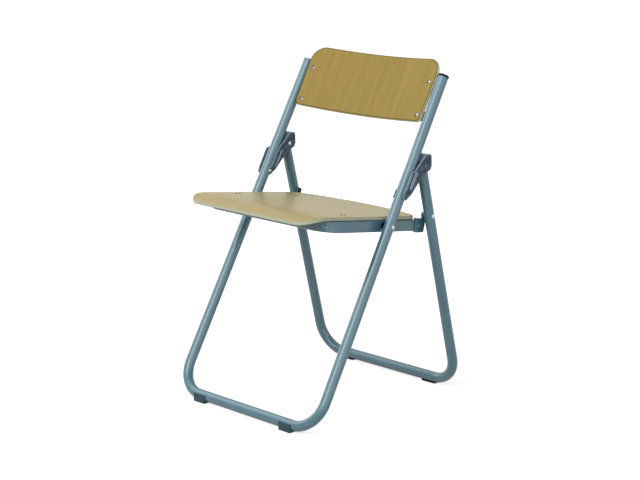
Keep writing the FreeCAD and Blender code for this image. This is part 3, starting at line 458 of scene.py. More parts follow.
def wood_grain() -> Effect:
    """Veneer grain along Y: broad bands, fibres and short pores.

    Returns:
        Effect with Tone, Pore and Relief outputs.
    """
    value = SocketKind.VALUE
    inputs = {"Vector": SocketKind.VECTOR, "Band Width": value, "Wander": value}
    effect = Effect("Wood grain", inputs, {"Tone": value, "Pore": value, "Relief": value})
    board = effect.board
    x, y, z = board.axes(effect.inputs["Vector"])
    waves = board.noise(board.stretch(effect.inputs["Vector"], (7.0, 5.0, 7.0)), 1.0, 2.0)
    drift = board.math("SUBTRACT", waves, 0.5)
    across = board.math("MULTIPLY_ADD", drift, effect.inputs["Wander"], x)
    line = board.vector(across, y, z)
    frequency = board.math("DIVIDE", 1.0, effect.inputs["Band Width"])
    scaled = board.vector(board.math("MULTIPLY", across, frequency), board.math("MULTIPLY", y, 4.5), z)
    bands = board.noise(scaled, 1.0, 3.0, 0.6)
    fibre = board.noise(board.stretch(line, (760.0, 11.0, 300.0)), 1.0, 3.0, 0.65)
    slow = board.noise(board.stretch(line, (16.0, 3.0, 16.0)), 1.0, 2.0)
    streaks = board.math("MULTIPLY_ADD", fibre, 0.3, board.math("MULTIPLY", slow, 0.2))
    effect.put("Tone", board.ramp(board.math("MULTIPLY_ADD", bands, 0.5, streaks), 0.34, 0.66))
    dashes = board.noise(board.stretch(line, (1300.0, 75.0, 400.0)), 1.0, 1.0)
    effect.put("Pore", board.ramp(dashes, 0.62, 0.74))
    effect.put("Relief", board.math("SUBTRACT", fibre, board.math("MULTIPLY", dashes, 0.6)))
    return effect


def sheet_rim() -> Effect:
    """Border of a sheet's face, told by how near the side is inside the sheet.

    Returns:
        Effect with a Mask output.
    """
    value = SocketKind.VALUE
    effect = Effect("Sheet rim", {"Reach": value}, {"Mask": value})
    board = effect.board
    inner = board.node("ShaderNodeAmbientOcclusion", samples=8, inside=True, only_local=True)
    board.feed(inner.inputs["Distance"], effect.inputs["Reach"])
    effect.put("Mask", board.ramp(inner.outputs["AO"], 0.86, 0.7))
    return effect


def veneer_edge() -> Effect:
    """Plywood edge: the veneers between the two faces, told by depth below the face.

    Returns:
        Effect with Mask, Layer, Line and Underside Shade outputs.
    """
    value = SocketKind.VALUE
    inputs = {"Vector": SocketKind.VECTOR, "Depth": value, "Thickness": value, "Veneers": value}
    effect = Effect("Veneer edge", inputs, {"Mask": value, "Layer": value, "Line": value, "Under": value})
    board = effect.board
    depth = effect.inputs["Depth"]
    below = board.math("SUBTRACT", effect.inputs["Thickness"], depth)
    inside = board.math("MINIMUM", depth, below)
    effect.put("Mask", board.ramp(inside, 0.5 * MM, 1.1 * MM))
    effect.put("Line", board.ramp(inside, 0.12 * MM, 0.5 * MM))
    # Painted shade: marks the lowest two millimetres of the sheet, its underside and lower fillet.
    effect.put("Under", board.ramp(below, 2.2 * MM, 0.9 * MM))
    place = effect.inputs["Vector"]
    waver = board.math("MULTIPLY", board.math("SUBTRACT", board.noise(place, 60.0, 2.0), 0.5), 0.35)
    share = board.math("DIVIDE", depth, effect.inputs["Thickness"])
    phase = board.math("MULTIPLY_ADD", share, effect.inputs["Veneers"], waver)
    wave = board.math("SINE", board.math("MULTIPLY", phase, math.pi))
    fibres = board.noise(board.stretch(place, (420.0, 420.0, 420.0)), 1.0, 3.0, 0.7)
    layer = board.math("MULTIPLY_ADD", board.math("ABSOLUTE", wave), 0.7, board.math("MULTIPLY", fibres, 0.3))
    effect.put("Layer", layer)
    return effect


def moulded_grain() -> Effect:
    """Fine spark-eroded texture of moulded plastic, with rubbed spots.

    Returns:
        Effect with Grain and Rub outputs.
    """
    value = SocketKind.VALUE
    inputs = {"Vector": SocketKind.VECTOR, "Scale": value}
    effect = Effect("Moulded grain", inputs, {"Grain": value, "Rub": value})
    board = effect.board
    place = effect.inputs["Vector"]
    cells = board.node("ShaderNodeTexVoronoi")
    board.feed(cells.inputs["Vector"], place)
    board.feed(cells.inputs["Scale"], effect.inputs["Scale"])
    soft = board.math("MULTIPLY", board.noise(place, effect.inputs["Scale"], 2.0), 0.4)
    effect.put("Grain", board.math("MULTIPLY_ADD", cells.outputs["Distance"], 0.6, soft))
    effect.put("Rub", board.ramp(board.noise(place, 120.0, 4.0, 0.6), 0.45, 0.75))
    return effect


def drawn_metal() -> Effect:
    """Plated metal: cloudy plating and fine handling scratches.

    Returns:
        Effect with Cloud and Scratch outputs.
    """
    value = SocketKind.VALUE
    effect = Effect("Drawn metal", {"Vector": SocketKind.VECTOR}, {"Cloud": value, "Scratch": value})
    board = effect.board
    place = effect.inputs["Vector"]
    effect.put("Cloud", board.ramp(board.noise(place, 240.0, 3.0), 0.3, 0.7))
    one = board.noise(board.stretch(place, (2600.0, 220.0, 2600.0)), 1.0, 2.0)
    other = board.noise(board.stretch(place, (220.0, 2600.0, 900.0)), 1.0, 2.0)
    effect.put("Scratch", board.math("MULTIPLY", one, other))
    return effect


@dataclass
class EffectLibrary:
    """Every shared effect, built once."""

    paint: Effect = field(default_factory=paint_skin)
    wear: Effect = field(default_factory=edge_wear)
    dust: Effect = field(default_factory=dust_and_crease_shade)
    grain: Effect = field(default_factory=wood_grain)
    shaded_rim: Effect = field(default_factory=sheet_rim)
    veneers: Effect = field(default_factory=veneer_edge)
    moulded: Effect = field(default_factory=moulded_grain)
    drawn: Effect = field(default_factory=drawn_metal)


class Surface:
    """New material with its Principled shader and a board to add nodes with."""

    def __init__(self, name: str) -> None:
        """Make the material.

        Args:
            name: Material's name.
        """
        self.material = bpy.data.materials.new(name)
        self.material.use_nodes = True
        self.board = Board(self.material.node_tree)
        self.shader = self.material.node_tree.nodes["Principled BSDF"]

    def set(self, **sources: Source) -> None:
        """Feed the shader's sockets.

        Args:
            sources: Sockets or values by socket name, with spaces as underscores.
        """
        for name, source in sources.items():
            self.board.feed(self.shader.inputs[name.replace("_", " ")], source)


@dataclass(frozen=True)
class PressedRelief:
    """Pressed link plates: painted shade on their floors and rear edges, and a painted highlight on their
    front ribs.
    """

    pivot: Vector
    lean: float
    # Dark colour of painted shade on the plate floors, a lighter patch colour within it, and the colour of
    # the painted highlight on the ribs.
    floor: Colour
    shade_patch: Colour
    crest_highlight: Colour
    outer_skin: float = 214.0 * MM
    inner_skin: float = 186.25 * MM
    rear_slope: float = 0.19

    def paint(self, board: Board, place: Source, painted: Source) -> Socket:
        """Paint shade on the plates' floors and a highlight on their front ribs.

        Args:
            board: Material's board.
            place: Coordinates in the chair's frame.
            painted: Paint's colour.

        Returns:
            The colour with dark floors and light ribs.
        """
        x, behind, along = board.leaning(place, self.pivot, self.lean)
        across = board.math("ABSOLUTE", x)
        outer = board.math("SUBTRACT", across, self.outer_skin)
        height = board.math("MAXIMUM", outer, board.math("SUBTRACT", self.inner_skin, across))
        # Painted highlight: the front part of the raised ribs turns to the highlight colour.
        raised = board.ramp(height, 0.3 * MM, 0.9 * MM)
        ahead = board.ramp(board.math("MULTIPLY_ADD", along, -self.rear_slope, behind), 10 * MM, 6 * MM)
        lighter = board.math("MULTIPLY", raised, ahead)
        # Painted shade: recessed faces that face along X, rear edges included, turn to the dark floor colour.
        flat = board.ramp(board.math("ABSOLUTE", board.facing()[0]), 0.5, 0.85)
        outside = board.math("MULTIPLY", flat, board.ramp(height, -0.4 * MM, -0.1 * MM))
        darkened = board.math("MULTIPLY", outside, board.math("SUBTRACT", 0.92, lighter))
        patch = board.ramp(board.noise(place, 85.0, 3.0, 0.6), 0.42, 0.62)
        plates = board.mix(darkened, painted, board.mix(patch, self.floor, self.shade_patch))
        return board.mix(lighter, plates, self.crest_highlight)


@dataclass(frozen=True)
class PaintFinish:
    """Sprayed semi-gloss paint on steel."""

    name: str
    colour: Colour
    shade: Colour
    worn: Colour
    # Colour of grit and painted shade.
    soil_and_shade: Colour
    roughness: float
    specular: float
    metallic: float
    wear: float = 0.5
    # Grit and painted shade in corners, in the darkening colour.
    grime: float = 0.35
    grime_and_shade_reach: float = 6 * MM
    edge_radius: float = 0.8 * MM
    # Painted shade low down near the floor, where the bars' undersides lie in shadow.
    floor_shade: float = 0.0
    floor_shade_span: tuple[float, float] = (13 * MM, 4 * MM)
    dust: Colour = srgb(190, 192, 188)
    dust_share: float = 0.06
    speck: Colour = srgb(150, 168, 176)
    speck_share: float = 0.12
    peel_scale: float = 420.0
    peel_depth: float = 0.01 * MM
    relief: PressedRelief | None = None

    def material(self, effects: EffectLibrary) -> bpy.types.Material:
        """Build the paint.

        Args:
            effects: Shared effects.

        Returns:
            The finished material.
        """
        surface = Surface(self.name)
        board = surface.board
        place = board.here()
        skin = effects.paint.place(board, Vector=place, Peel_Scale=self.peel_scale)
        wear = effects.wear.place(board, Vector=place, Radius=self.edge_radius, Amount=self.wear)
        dust = effects.dust.place(board, Vector=place, Reach=self.grime_and_shade_reach)
        painted = board.mix(skin["Tone"], self.shade, self.colour)
        if self.relief:
            painted = self.relief.paint(board, place, painted)
        # Painted shade: the paint darkens low down near the floor and in corners, the corners partly with
        # grit.
        low = board.ramp(board.axes(place)[2], *self.floor_shade_span, 0.0, self.floor_shade)
        darkened = board.math("MAXIMUM", low, board.math("MULTIPLY", dust["Grime"], self.grime))
        darkened_paint = board.mix(darkened, painted, self.soil_and_shade)
        dusty = board.tint(dust["Dust"], self.dust_share, darkened_paint, self.dust)
        specked = board.tint(skin["Speck"], self.speck_share, dusty, self.speck)
        colour = board.mix(wear["Mask"], specked, self.worn)
        dulled = board.math("MULTIPLY_ADD", dust["Dust"], 0.10, self.roughness - 0.03)
        rough = board.math("MULTIPLY_ADD", low, 0.6, board.math("MULTIPLY_ADD", skin["Tone"], 0.06, dulled))
        normal = board.bump(skin["Peel"], self.peel_depth, 0.4, wear["Round"] if self.relief else None)
        surface.set(Base_Color=colour, Roughness=rough, Normal=normal)
        surface.set(Metallic=self.metallic, Specular_IOR_Level=self.specular)
        return surface.material


@dataclass(frozen=True)
class SheetPlace:
    """Where a bent plywood sheet lies: its own frame and the axis that it bends round.

    The grain runs along its own up axis or its own back axis.
    """

    origin: Vector
    lean: float
    bend_radius: float
    bend_back: float
    bend_up: float
    grain_up: bool
    thickness: float

    def coordinates(self, board: Board) -> tuple[Socket, Socket]:
        """Grain coordinates and depth below the face.

        Args:
            board: Material's board.

        Returns:
            Vector across, along the grain and in depth, and the depth in metres.
        """
        x, y, z = board.leaning(board.here(), self.origin, self.lean)
        if self.grain_up:
            reach = board.hypotenuse(x, board.math("SUBTRACT", y, self.bend_back))
            depth = board.math("SUBTRACT", reach, self.bend_radius)
            return board.vector(x, z, depth), depth
        level = board.math("SUBTRACT", z, self.bend_up)
        ahead = board.math("MINIMUM", board.math("SUBTRACT", y, self.bend_back), 0.0)
        depth = board.math("SUBTRACT", self.bend_radius, board.hypotenuse(ahead, level))
        return board.vector(x, y, depth), depth


@dataclass(frozen=True)
class PlywoodFinish:
    """Varnished plywood: veneer faces and layered edges."""

    name: str
    place: SheetPlace
    pale: Colour
    dark: Colour
    pore: Colour
    edge_pale: Colour
    edge_dark: Colour
    # Colour of painted shade along the face's border.
    shaded_rim: Colour
    roughness: float
    specular: float
    coat: float = 0.0
    coat_roughness: float = 0.22
    shaded_rim_reach: float = 1.6 * MM
    # Colour and share of painted shade on the sheet's underside and lower fillet.
    under: Colour = srgb(72, 64, 42)
    underside_shade_share: float = 0.0
    # Colour, share and span of painted shade on the seat's rolled front lip.
    lip_shade: Colour = srgb(152, 132, 70)
    lip_shade_share: float = 0.0
    lip_shade_span: tuple[float, float] = (-120 * MM, -172 * MM)
    pore_share: float = 0.45
    grain_depth: float = 0.06 * MM
    band_width: float = 11 * MM
    wander: float = 9 * MM
    veneers: float = 7.0

    def material(self, effects: EffectLibrary) -> bpy.types.Material:
        """Build the plywood.

        Args:
            effects: Shared effects.

        Returns:
            The finished material.
        """
        surface = Surface(self.name)
        board = surface.board
        line, depth = self.place.coordinates(board)
        grain = effects.grain.place(board, Vector=line, Band_Width=self.band_width, Wander=self.wander)
        edge = effects.veneers.place(
            board, Vector=line, Depth=depth, Thickness=self.place.thickness, Veneers=self.veneers
        )
        face = board.mix(grain["Tone"], self.dark, self.pale)
        face = board.tint(grain["Pore"], self.pore_share, face, self.pore)
        # Painted shade: the rolled front lip turns to a darker, yellower colour.
        rolled = board.ramp(board.axes(line)[1], *self.lip_shade_span, 0.0, self.lip_shade_share)
        face = board.mix(rolled, face, self.lip_shade)
        # Painted shade: the face's border and the fillet line take a dark colour, where the edge lies in
        # shade.
        border = effects.shaded_rim.place(board, Reach=self.shaded_rim_reach)["Mask"]
        face = board.mix(board.math("MAXIMUM", edge["Line"], border), face, self.shaded_rim)
        side = board.mix(edge["Layer"], self.edge_dark, self.edge_pale)
        sheet = board.mix(edge["Mask"], face, side)
        # Painted shade on the underside and the lower fillet.
        colour = board.tint(edge["Under"], self.underside_shade_share, sheet, self.under)
        matt = board.math("MULTIPLY_ADD", edge["Mask"], 0.25, self.roughness)
        rough = board.math("MULTIPLY_ADD", grain["Pore"], 0.12, matt)
        normal = board.bump(grain["Relief"], self.grain_depth, 0.5)
        surface.set(Base_Color=colour, Roughness=rough, Normal=normal, Specular_IOR_Level=self.specular)
        if self.coat:
            sealed = board.math("MULTIPLY", board.math("SUBTRACT", 1.0, edge["Mask"]), self.coat)
            surface.set(Coat_Weight=sealed, Coat_Roughness=self.coat_roughness)
        return surface.material


@dataclass(frozen=True)
class SteelFinish:
    """Bare or plated steel with clouds, scratches, grit and painted shade in its corners, and painted shade
    on one side.
    """

    name: str
    colour: Colour
    cloud: Colour
    # Dark colour of grit and painted shade.
    dirt_and_shade: Colour
    roughness: float
    # Painted shade on the side that faces minus X.
    side_shade: float = 0.0
    grime_and_shade_share: float = 0.8
    scratch_depth: float = 0.02 * MM

    def material(self, effects: EffectLibrary) -> bpy.types.Material:
        """Build the steel.

        Args:
            effects: Shared effects.

        Returns:
            The finished material.
        """
        surface = Surface(self.name)
        board = surface.board
        place = board.here()
        drawn = effects.drawn.place(board, Vector=place)
        dust = effects.dust.place(board, Vector=place, Reach=3 * MM)
        wear = effects.wear.place(board, Vector=place, Radius=0.3 * MM, Amount=0.0)
        plated = board.mix(drawn["Cloud"], self.cloud, self.colour)
        # Painted shade: the side facing minus X and the corners turn to the dark colour, the corners partly
        # with grit.
        side = board.ramp(board.facing()[0], 0.12, -0.16, 0.0, self.side_shade)
        grime = board.math("MAXIMUM", side, board.math("MULTIPLY", dust["Grime"], self.grime_and_shade_share))
        surface.set(Base_Color=board.mix(grime, plated, self.dirt_and_shade))
        surface.set(Metallic=board.math("SUBTRACT", 1.0, board.math("MULTIPLY", grime, 0.6)))
        surface.set(Roughness=board.math("MULTIPLY_ADD", drawn["Scratch"], 0.3, self.roughness))
        surface.set(Normal=board.bump(drawn["Scratch"], self.scratch_depth, 0.4, wear["Round"]))
        return surface.material


@dataclass(frozen=True)
class RivetFinish:
    """Bright rivets whose ends on the outsides of the hinge links are painted over."""

    name: str
    steel: Colour
    cloud: Colour
    painted: Colour
    # Dark colour of grit and painted shade in corners.
    dirt_and_shade: Colour = srgb(30, 36, 40)
    dirt_and_shade_share: float = 0.7
    roughness: float = 0.2
    scratch_depth: float = 0.02 * MM
    painted_from: float = 213.95 * MM

    def material(self, effects: EffectLibrary) -> bpy.types.Material:
        """Build the rivets' finish.

        Args:
            effects: Shared effects.

        Returns:
            The finished material.
        """
        surface = Surface(self.name)
        board = surface.board
        place = board.here()
        drawn = effects.drawn.place(board, Vector=place)
        dust = effects.dust.place(board, Vector=place, Reach=2 * MM)
        across = board.math("ABSOLUTE", board.axes(place)[0])
        paint = board.math("GREATER_THAN", across, self.painted_from)
        bare = board.mix(drawn["Cloud"], self.cloud, self.steel)
        coloured = board.mix(paint, bare, self.painted)
        # Corners darken, partly grit and partly painted shade.
        surface.set(Base_Color=board.tint(dust["Grime"], self.dirt_and_shade_share, coloured, self.dirt_and_shade))
        surface.set(Metallic=board.math("SUBTRACT", 1.0, board.math("MULTIPLY", paint, 0.9)))
        surface.set(Roughness=board.math("MULTIPLY_ADD", drawn["Scratch"], 0.3, self.roughness))
        surface.set(Normal=board.bump(drawn["Scratch"], self.scratch_depth, 0.4))
        return surface.material


@dataclass(frozen=True)
class PlasticFinish:
    """Moulded plastic with a fine grain, worn paler on its edges."""

    name: str
    colour: Colour
    lighter: Colour
    roughness: float
    specular: float
    rub_share: float = 0.3
    dust: Colour = srgb(150, 148, 142)
    dust_share: float = 0.04
    grain_scale: float = 1400.0
    grain_depth: float = 0.05 * MM

    def material(self, effects: EffectLibrary) -> bpy.types.Material:
        """Build the plastic.

        Args:
            effects: Shared effects.

        Returns:
            The finished material.
        """
        surface = Surface(self.name)
        board = surface.board
        place = board.here()
        grain = effects.moulded.place(board, Vector=place, Scale=self.grain_scale)
        wear = effects.wear.place(board, Vector=place, Radius=0.6 * MM, Amount=0.6)
        dust = effects.dust.place(board, Vector=place, Reach=4 * MM)
        handled = board.tint(grain["Rub"], self.rub_share, self.colour, self.lighter)
        lighter = board.mix(wear["Mask"], handled, self.lighter)
        dusty = board.tint(dust["Dust"], self.dust_share, lighter, self.dust)
        surface.set(Base_Color=dusty, Specular_IOR_Level=self.specular)
        surface.set(Roughness=board.math("MULTIPLY_ADD", grain["Rub"], 0.15, self.roughness))
        surface.set(Normal=board.bump(grain["Grain"], self.grain_depth, 0.5, wear["Round"]))
        return surface.material


Finish = PaintFinish | PlywoodFinish | SteelFinish | RivetFinish | PlasticFinish


@dataclass
class FrameRead:
    """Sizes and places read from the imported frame."""

    joints: dict[str, Vector]
    nodes: dict[str, bpy.types.Object]
    slots: dict[str, str]

    @classmethod
    def read(cls, frame: dict) -> FrameRead:
        """Read joints, nodes and material slots.


        Returns:
            The sizes and places.
        """
        joints = {joint["name"]: Vector(joint["pos_m"]) for joint in frame["joints"]}
        slots = {part["node"]: part["material_slot"] for part in frame["record"]["subparts"]}
        return cls(joints, frame["nodes"], slots)

    @property
    def front_lean(self) -> float:
        """Backward lean of the front tubes, from the two pivots on them."""
        along = self.joints["link_fold"] - self.joints["seat_fold"]
        return math.atan2(along.y, along.z)


@dataclass(frozen=True)
class FrontPlane:
    """Sloping plane of the front tubes, with its origin at the floor bar's centre."""

    lean: float
    bar_y: float
    bar_z: float

    @classmethod
    def through_pivots(
        cls, read: FrameRead, tube_radius: float = 11.1 * MM, foot_sole: float = 2.5 * MM
    ) -> FrontPlane:
        """Plane through the two pivots on the front tubes, down to the floor bar.

        Args:
            read: Sizes and places of the frame.
            tube_radius: Radius of the frame tube.
            foot_sole: Height of the floor bar's underside over the floor.

        Returns:
            The front tubes' plane.
        """
        pivot = read.joints["seat_fold"]
        bar_z = tube_radius + foot_sole
        bar_y = pivot.y - math.tan(read.front_lean) * (pivot.z - bar_z)
        return cls(read.front_lean, bar_y, bar_z)

    @property
    def matrix(self) -> Matrix:
        """Turns across, depth and along into the chair's frame."""
        return Matrix.Translation((0.0, self.bar_y, self.bar_z)) @ Matrix.Rotation(-self.lean, 4, "X")


class Palette:
    """All finishes by material slot, and how pieces get them."""

    def __init__(self, effects: EffectLibrary, finishes: dict[Slot, Finish]) -> None:
        """Build every finish.

        Args:
            effects: Shared effects.
            finishes: Finish for each slot.
        """
        self.materials = {slot: finish.material(effects) for slot, finish in finishes.items()}

    def dress(self, piece: bpy.types.Object, slot: Slot) -> None:
        """Give a piece one finish all over.

        Args:
            piece: Object to dress.
            slot: Slot whose finish it takes.
        """
        piece.data.materials.clear()
        piece.data.materials.append(self.materials[slot])

    def dress_nodes(self, read: FrameRead) -> None:
        """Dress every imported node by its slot, with the bracket rivets and one tube cap painted over.

        Args:
            read: Sizes and places of the frame.
        """
        for name, node in read.nodes.items():
            self.dress(node, Slot(read.slots[name]))
        for name in ("bracket_rivets", "tube_cap_right"):
            self.dress(read.nodes[name], Slot.FRAME_PAINT)


class MeshMaker:
    """Builds mesh objects from rings of points."""

    @staticmethod
    def finish(name: str, build: bmesh.types.BMesh, smooth: float) -> bpy.types.Object:
        """Turn a bmesh into an object with smooth faces and sharp edges.

        Args:
            name: Object's name.
            build: Filled bmesh, which is freed.
            smooth: Greatest angle between faces that still look smooth, in degrees.

        Returns:
            The new object, linked to the scene.
        """
        bmesh.ops.remove_doubles(build, verts=build.verts, dist=MERGE_DISTANCE)
        bmesh.ops.recalc_face_normals(build, faces=build.faces)
        for face in build.faces:
            face.smooth = True
        for edge in build.edges:
            edge.smooth = len(edge.link_faces) == 2 and edge.calc_face_angle() < math.radians(smooth)
        mesh = bpy.data.meshes.new(name)
        build.to_mesh(mesh)
        build.free()
        piece = bpy.data.objects.new(name, mesh)
        bpy.context.scene.collection.objects.link(piece)
        return piece

    @staticmethod
    def skin(
        build: bmesh.types.BMesh, rings: Sequence[Sequence[Vector]], close_start: bool, close_end: bool
    ) -> None:
        """Join closed rings of points into one surface.

        Args:
            build: Bmesh to fill.
            rings: Rings with the same number of points.
            close_start: Whether the first ring gets a lid.
            close_end: Whether the last ring gets a lid.
        """
        made = [[build.verts.new(point) for point in ring] for ring in rings]
        count = len(made[0])
        for first, second in zip(made, made[1:]):
            for index in range(count):
                after = (index + 1) % count
                build.faces.new((first[index], first[after], second[after], second[index]))
        if close_start:
            build.faces.new(made[0])
        if close_end:
            build.faces.new(made[-1])


def ring(count: int, height: float, radius: Callable[[float], float]) -> list[Vector]:
    """Closed ring of points round Z.

    Args:
        count: Number of points.
        height: Z of the ring.
        radius: Radius at an angle.

    Returns:
        The ring's points.
    """
    points = []
    for step in range(count):
        angle = 2 * math.pi * step / count
        reach = radius(angle)
        points.append(Vector((reach * math.cos(angle), reach * math.sin(angle), height)))
    return points


def steady(radius: float) -> Callable[[float], float]:
    """Radius that is the same at every angle."""
    return lambda angle: radius


def even_shares(steps: int) -> list[float]:
    """Shares from minus one to one in even steps."""
    return [2 * step / steps - 1 for step in range(steps + 1)]


@dataclass
class BackHardware:
    """Screws, nuts and tab welds that hold the back panel on the front tubes."""

    plane: FrontPlane
    curve_radius: float = 1030 * MM
    centre_depth: float = 8.0 * MM
    screw_x: float = 169.1 * MM
    screw_rows: tuple[float, float] = (762.5 * MM, 687.4 * MM)
    panel: float = 8 * MM
    tab: float = 2.5 * MM
    washer: float = 1.0 * MM
    screw_radius: float = 2.5 * MM
    head_radius: float = 5.2 * MM
    head_height: float = 3.0 * MM
    head_rings: int = 26
    head_points: int = 96
    recess_length: float = 2.9 * MM
    recess_width: float = 0.75 * MM
    recess_depth: float = 2.0 * MM
    recess_slopes: tuple[float, float] = (0.5 * MM, 0.25 * MM)
    thread_pitch: float = 0.8 * MM
    thread_depth: float = 0.35 * MM
    thread_steps: int = 8
    shank_play: float = 0.02 * MM
    tip_chamfer: float = 0.6 * MM
    tip_share: float = 0.7
    nut_flats: float = 8.0 * MM
    nut_height: float = 4.0 * MM
    nut_chamfer: float = 0.5 * MM
    nut_sink: float = 0.4 * MM
    nut_play: float = 0.05 * MM
    nut_points: int = 72
    screw_tail: float = 1.5 * MM
    weld_radius: float = 1.5 * MM
    weld_half_length: float = 9.5 * MM
    weld_steps: int = 24
    weld_spot: tuple[float, float] = (186.6 * MM, 2.0 * MM)

    def screw_matrix(self, side: Side, along: float) -> Matrix:
        """Frame of a back screw: origin on the panel's front, Z through it to the back.

        Args:
            side: Side of the chair.
            along: Distance up the front tube.

        Returns:
            Matrix from the screw's frame into the chair's frame.
        """
        angle = side.value * math.asin(self.screw_x / self.curve_radius)
        outward = Vector((math.sin(angle), math.cos(angle), 0.0))
        sideways = Vector((math.cos(angle), -math.sin(angle), 0.0))
        centre = Vector((0.0, self.centre_depth - self.curve_radius, along))
        local = Matrix((sideways, (0.0, 0.0, -1.0), outward)).transposed().to_4x4()
        local.translation = centre + outward * self.curve_radius
        return self.plane.matrix @ local

    def each_screw(self) -> list[Matrix]:
        """Frames of all four back screws."""
        return [self.screw_matrix(side, along) for along in self.screw_rows for side in Side]

    def head_depth(self, x: float, y: float) -> float:
        """Height of the domed head at a point, with the cross recess pressed in.

        Args:
            x: Across the head.
            y: Up the head.

        Returns:
            Height above the panel's face.
        """
        sphere = (self.head_radius ** 2 + self.head_height ** 2) / (2 * self.head_height)
        height = math.sqrt(max(sphere ** 2 - x * x - y * y, 0.0)) - sphere + self.head_height
        end_slope, side_slope = self.recess_slopes
        recess = 0.0
        for long_way, short_way in ((abs(x), abs(y)), (abs(y), abs(x))):
            along = min(max((self.recess_length - long_way) / end_slope, 0.0), 1.0)
            across = min(max((self.recess_width - short_way) / side_slope, 0.0), 1.0)
            recess = max(recess, min(along, across))
        return height - self.recess_depth * recess

    def screw_mesh(self) -> bmesh.types.BMesh:
        """One screw: recessed dome in front, threaded shank behind.

        Returns:
            The filled bmesh, in the screw's frame.
        """
        build = bmesh.new()
        count = self.head_points
        rings = []
        for step in range(1, self.head_rings + 1):
            flat = ring(count, 0.0, steady(self.head_radius * step / self.head_rings))
            rings.append([Vector((p.x, p.y, -self.head_depth(p.x, p.y))) for p in flat])
        rings.append(ring(count, 0.0, steady(self.screw_radius)))
        MeshMaker.skin(build, rings, True, False)
        self.add_thread(build, count // 2)
        return build

    def add_thread(self, build: bmesh.types.BMesh, count: int) -> None:
        """Shank with a helical thread, up to its chamfered end.

        Args:
            build: Bmesh to add to.
            count: Points round the shank.
        """
        start = self.panel + self.tab
        end = start + self.washer + self.nut_height + self.screw_tail
        plain = steady(self.screw_radius - self.shank_play)
        rings = [ring(count, height, plain) for height in (0.0, start)]
        steps = int((end - start) / self.thread_pitch * self.thread_steps)
        for step in range(1, steps + 1):
            height = start + (end - start) * step / steps
            taper = min(1.0, (end - height) / self.tip_chamfer * (1 - self.tip_share) + self.tip_share)

            def helix(angle: float, at: float = height, share: float = taper) -> float:
                """Radius of the thread at an angle."""
                turn = (at / self.thread_pitch - angle / (2 * math.pi)) % 1.0
                return (self.screw_radius - self.thread_depth * abs(2 * turn - 1)) * share

            rings.append(ring(count, height, helix))
        MeshMaker.skin(build, rings, True, True)

    def nut_mesh(self) -> bmesh.types.BMesh:
        """One hexagon nut with chamfered corners and a bore.

        Returns:
            The filled bmesh, in the screw's frame.
        """
        build = bmesh.new()
        base = self.panel + self.tab + self.washer
        top = base + self.nut_height
        apothem = self.nut_flats / 2

        def hexagon(limit: float) -> Callable[[float], float]:
            """Hexagon's radius at an angle, held to a limit."""
            def reach(angle: float) -> float:
                """Radius at an angle."""
                turn = angle % (math.pi / 3) - math.pi / 6
                return min(apothem / math.cos(turn), limit)
            return reach

        corner = apothem / math.cos(math.pi / 6)
        bore = self.screw_radius + self.nut_play
        outline = (
            (base, steady(bore)),
            (base, hexagon(apothem)),
            (base + self.nut_chamfer, hexagon(corner)),
            (top - self.nut_chamfer, hexagon(corner)),
            (top, hexagon(apothem)),
            (top, steady(bore + self.nut_sink)),
            (top - self.nut_sink, steady(bore)),
        )
        rings = [ring(self.nut_points, height, radius) for height, radius in outline]
        MeshMaker.skin(build, rings + rings[:1], False, False)
        return build

    def spread(self, name: str, make: Callable[[], bmesh.types.BMesh], smooth: float) -> bpy.types.Object:
        """One piece with a copy of a mesh at each back screw.

        Args:
            name: Piece's name.
            make: Makes the bmesh in the screw's frame.
            smooth: Greatest angle that still looks smooth, in degrees.

        Returns:
            The new piece.
        """
        whole = bmesh.new()
        for matrix in self.each_screw():
            single = make()
            bmesh.ops.transform(single, matrix=matrix, verts=single.verts)
            mesh = bpy.data.meshes.new(name)
            single.to_mesh(mesh)
            single.free()
            whole.from_mesh(mesh)
            bpy.data.meshes.remove(mesh)
        return MeshMaker.finish(name, whole, smooth)

    def weld_line(self, side: Side, along: float) -> list[Vector]:
        """Middle line of the weld between a back tab and its tube.

        Args:
            side: Side of the chair.
            along: Height of the tab up the front tube.

        Returns:
            Points of the line in the chair's frame.
        """
        across, depth = self.weld_spot
        heights = [along + self.weld_half_length * share for share in even_shares(self.weld_steps)]
        return [self.plane.matrix @ Vector((side.value * across, depth, height)) for height in heights]

    def build(self, palette: Palette) -> None:
        """Make and dress all of the back panel's hardware.

        Args:
            palette: Finishes.
        """
        screws = self.spread("back_screw_set", self.screw_mesh, 40)
        attach(palette, screws, Body.FRONT, Slot.BRIGHT_STEEL, "back_screws")
        nuts = self.spread("back_nut_set", self.nut_mesh, 30)
        attach(palette, nuts, Body.FRONT, Slot.ZINC_STEEL, "back_nuts")
        for word, along in zip(("upper", "lower"), self.screw_rows):
            for side in Side:
                line = self.weld_line(side, along)
                bead = weld_bead(f"tab_weld_{word}_{side.word}", line, self.weld_radius)
                attach(palette, bead, Body.FRONT, Slot.FRAME_PAINT)


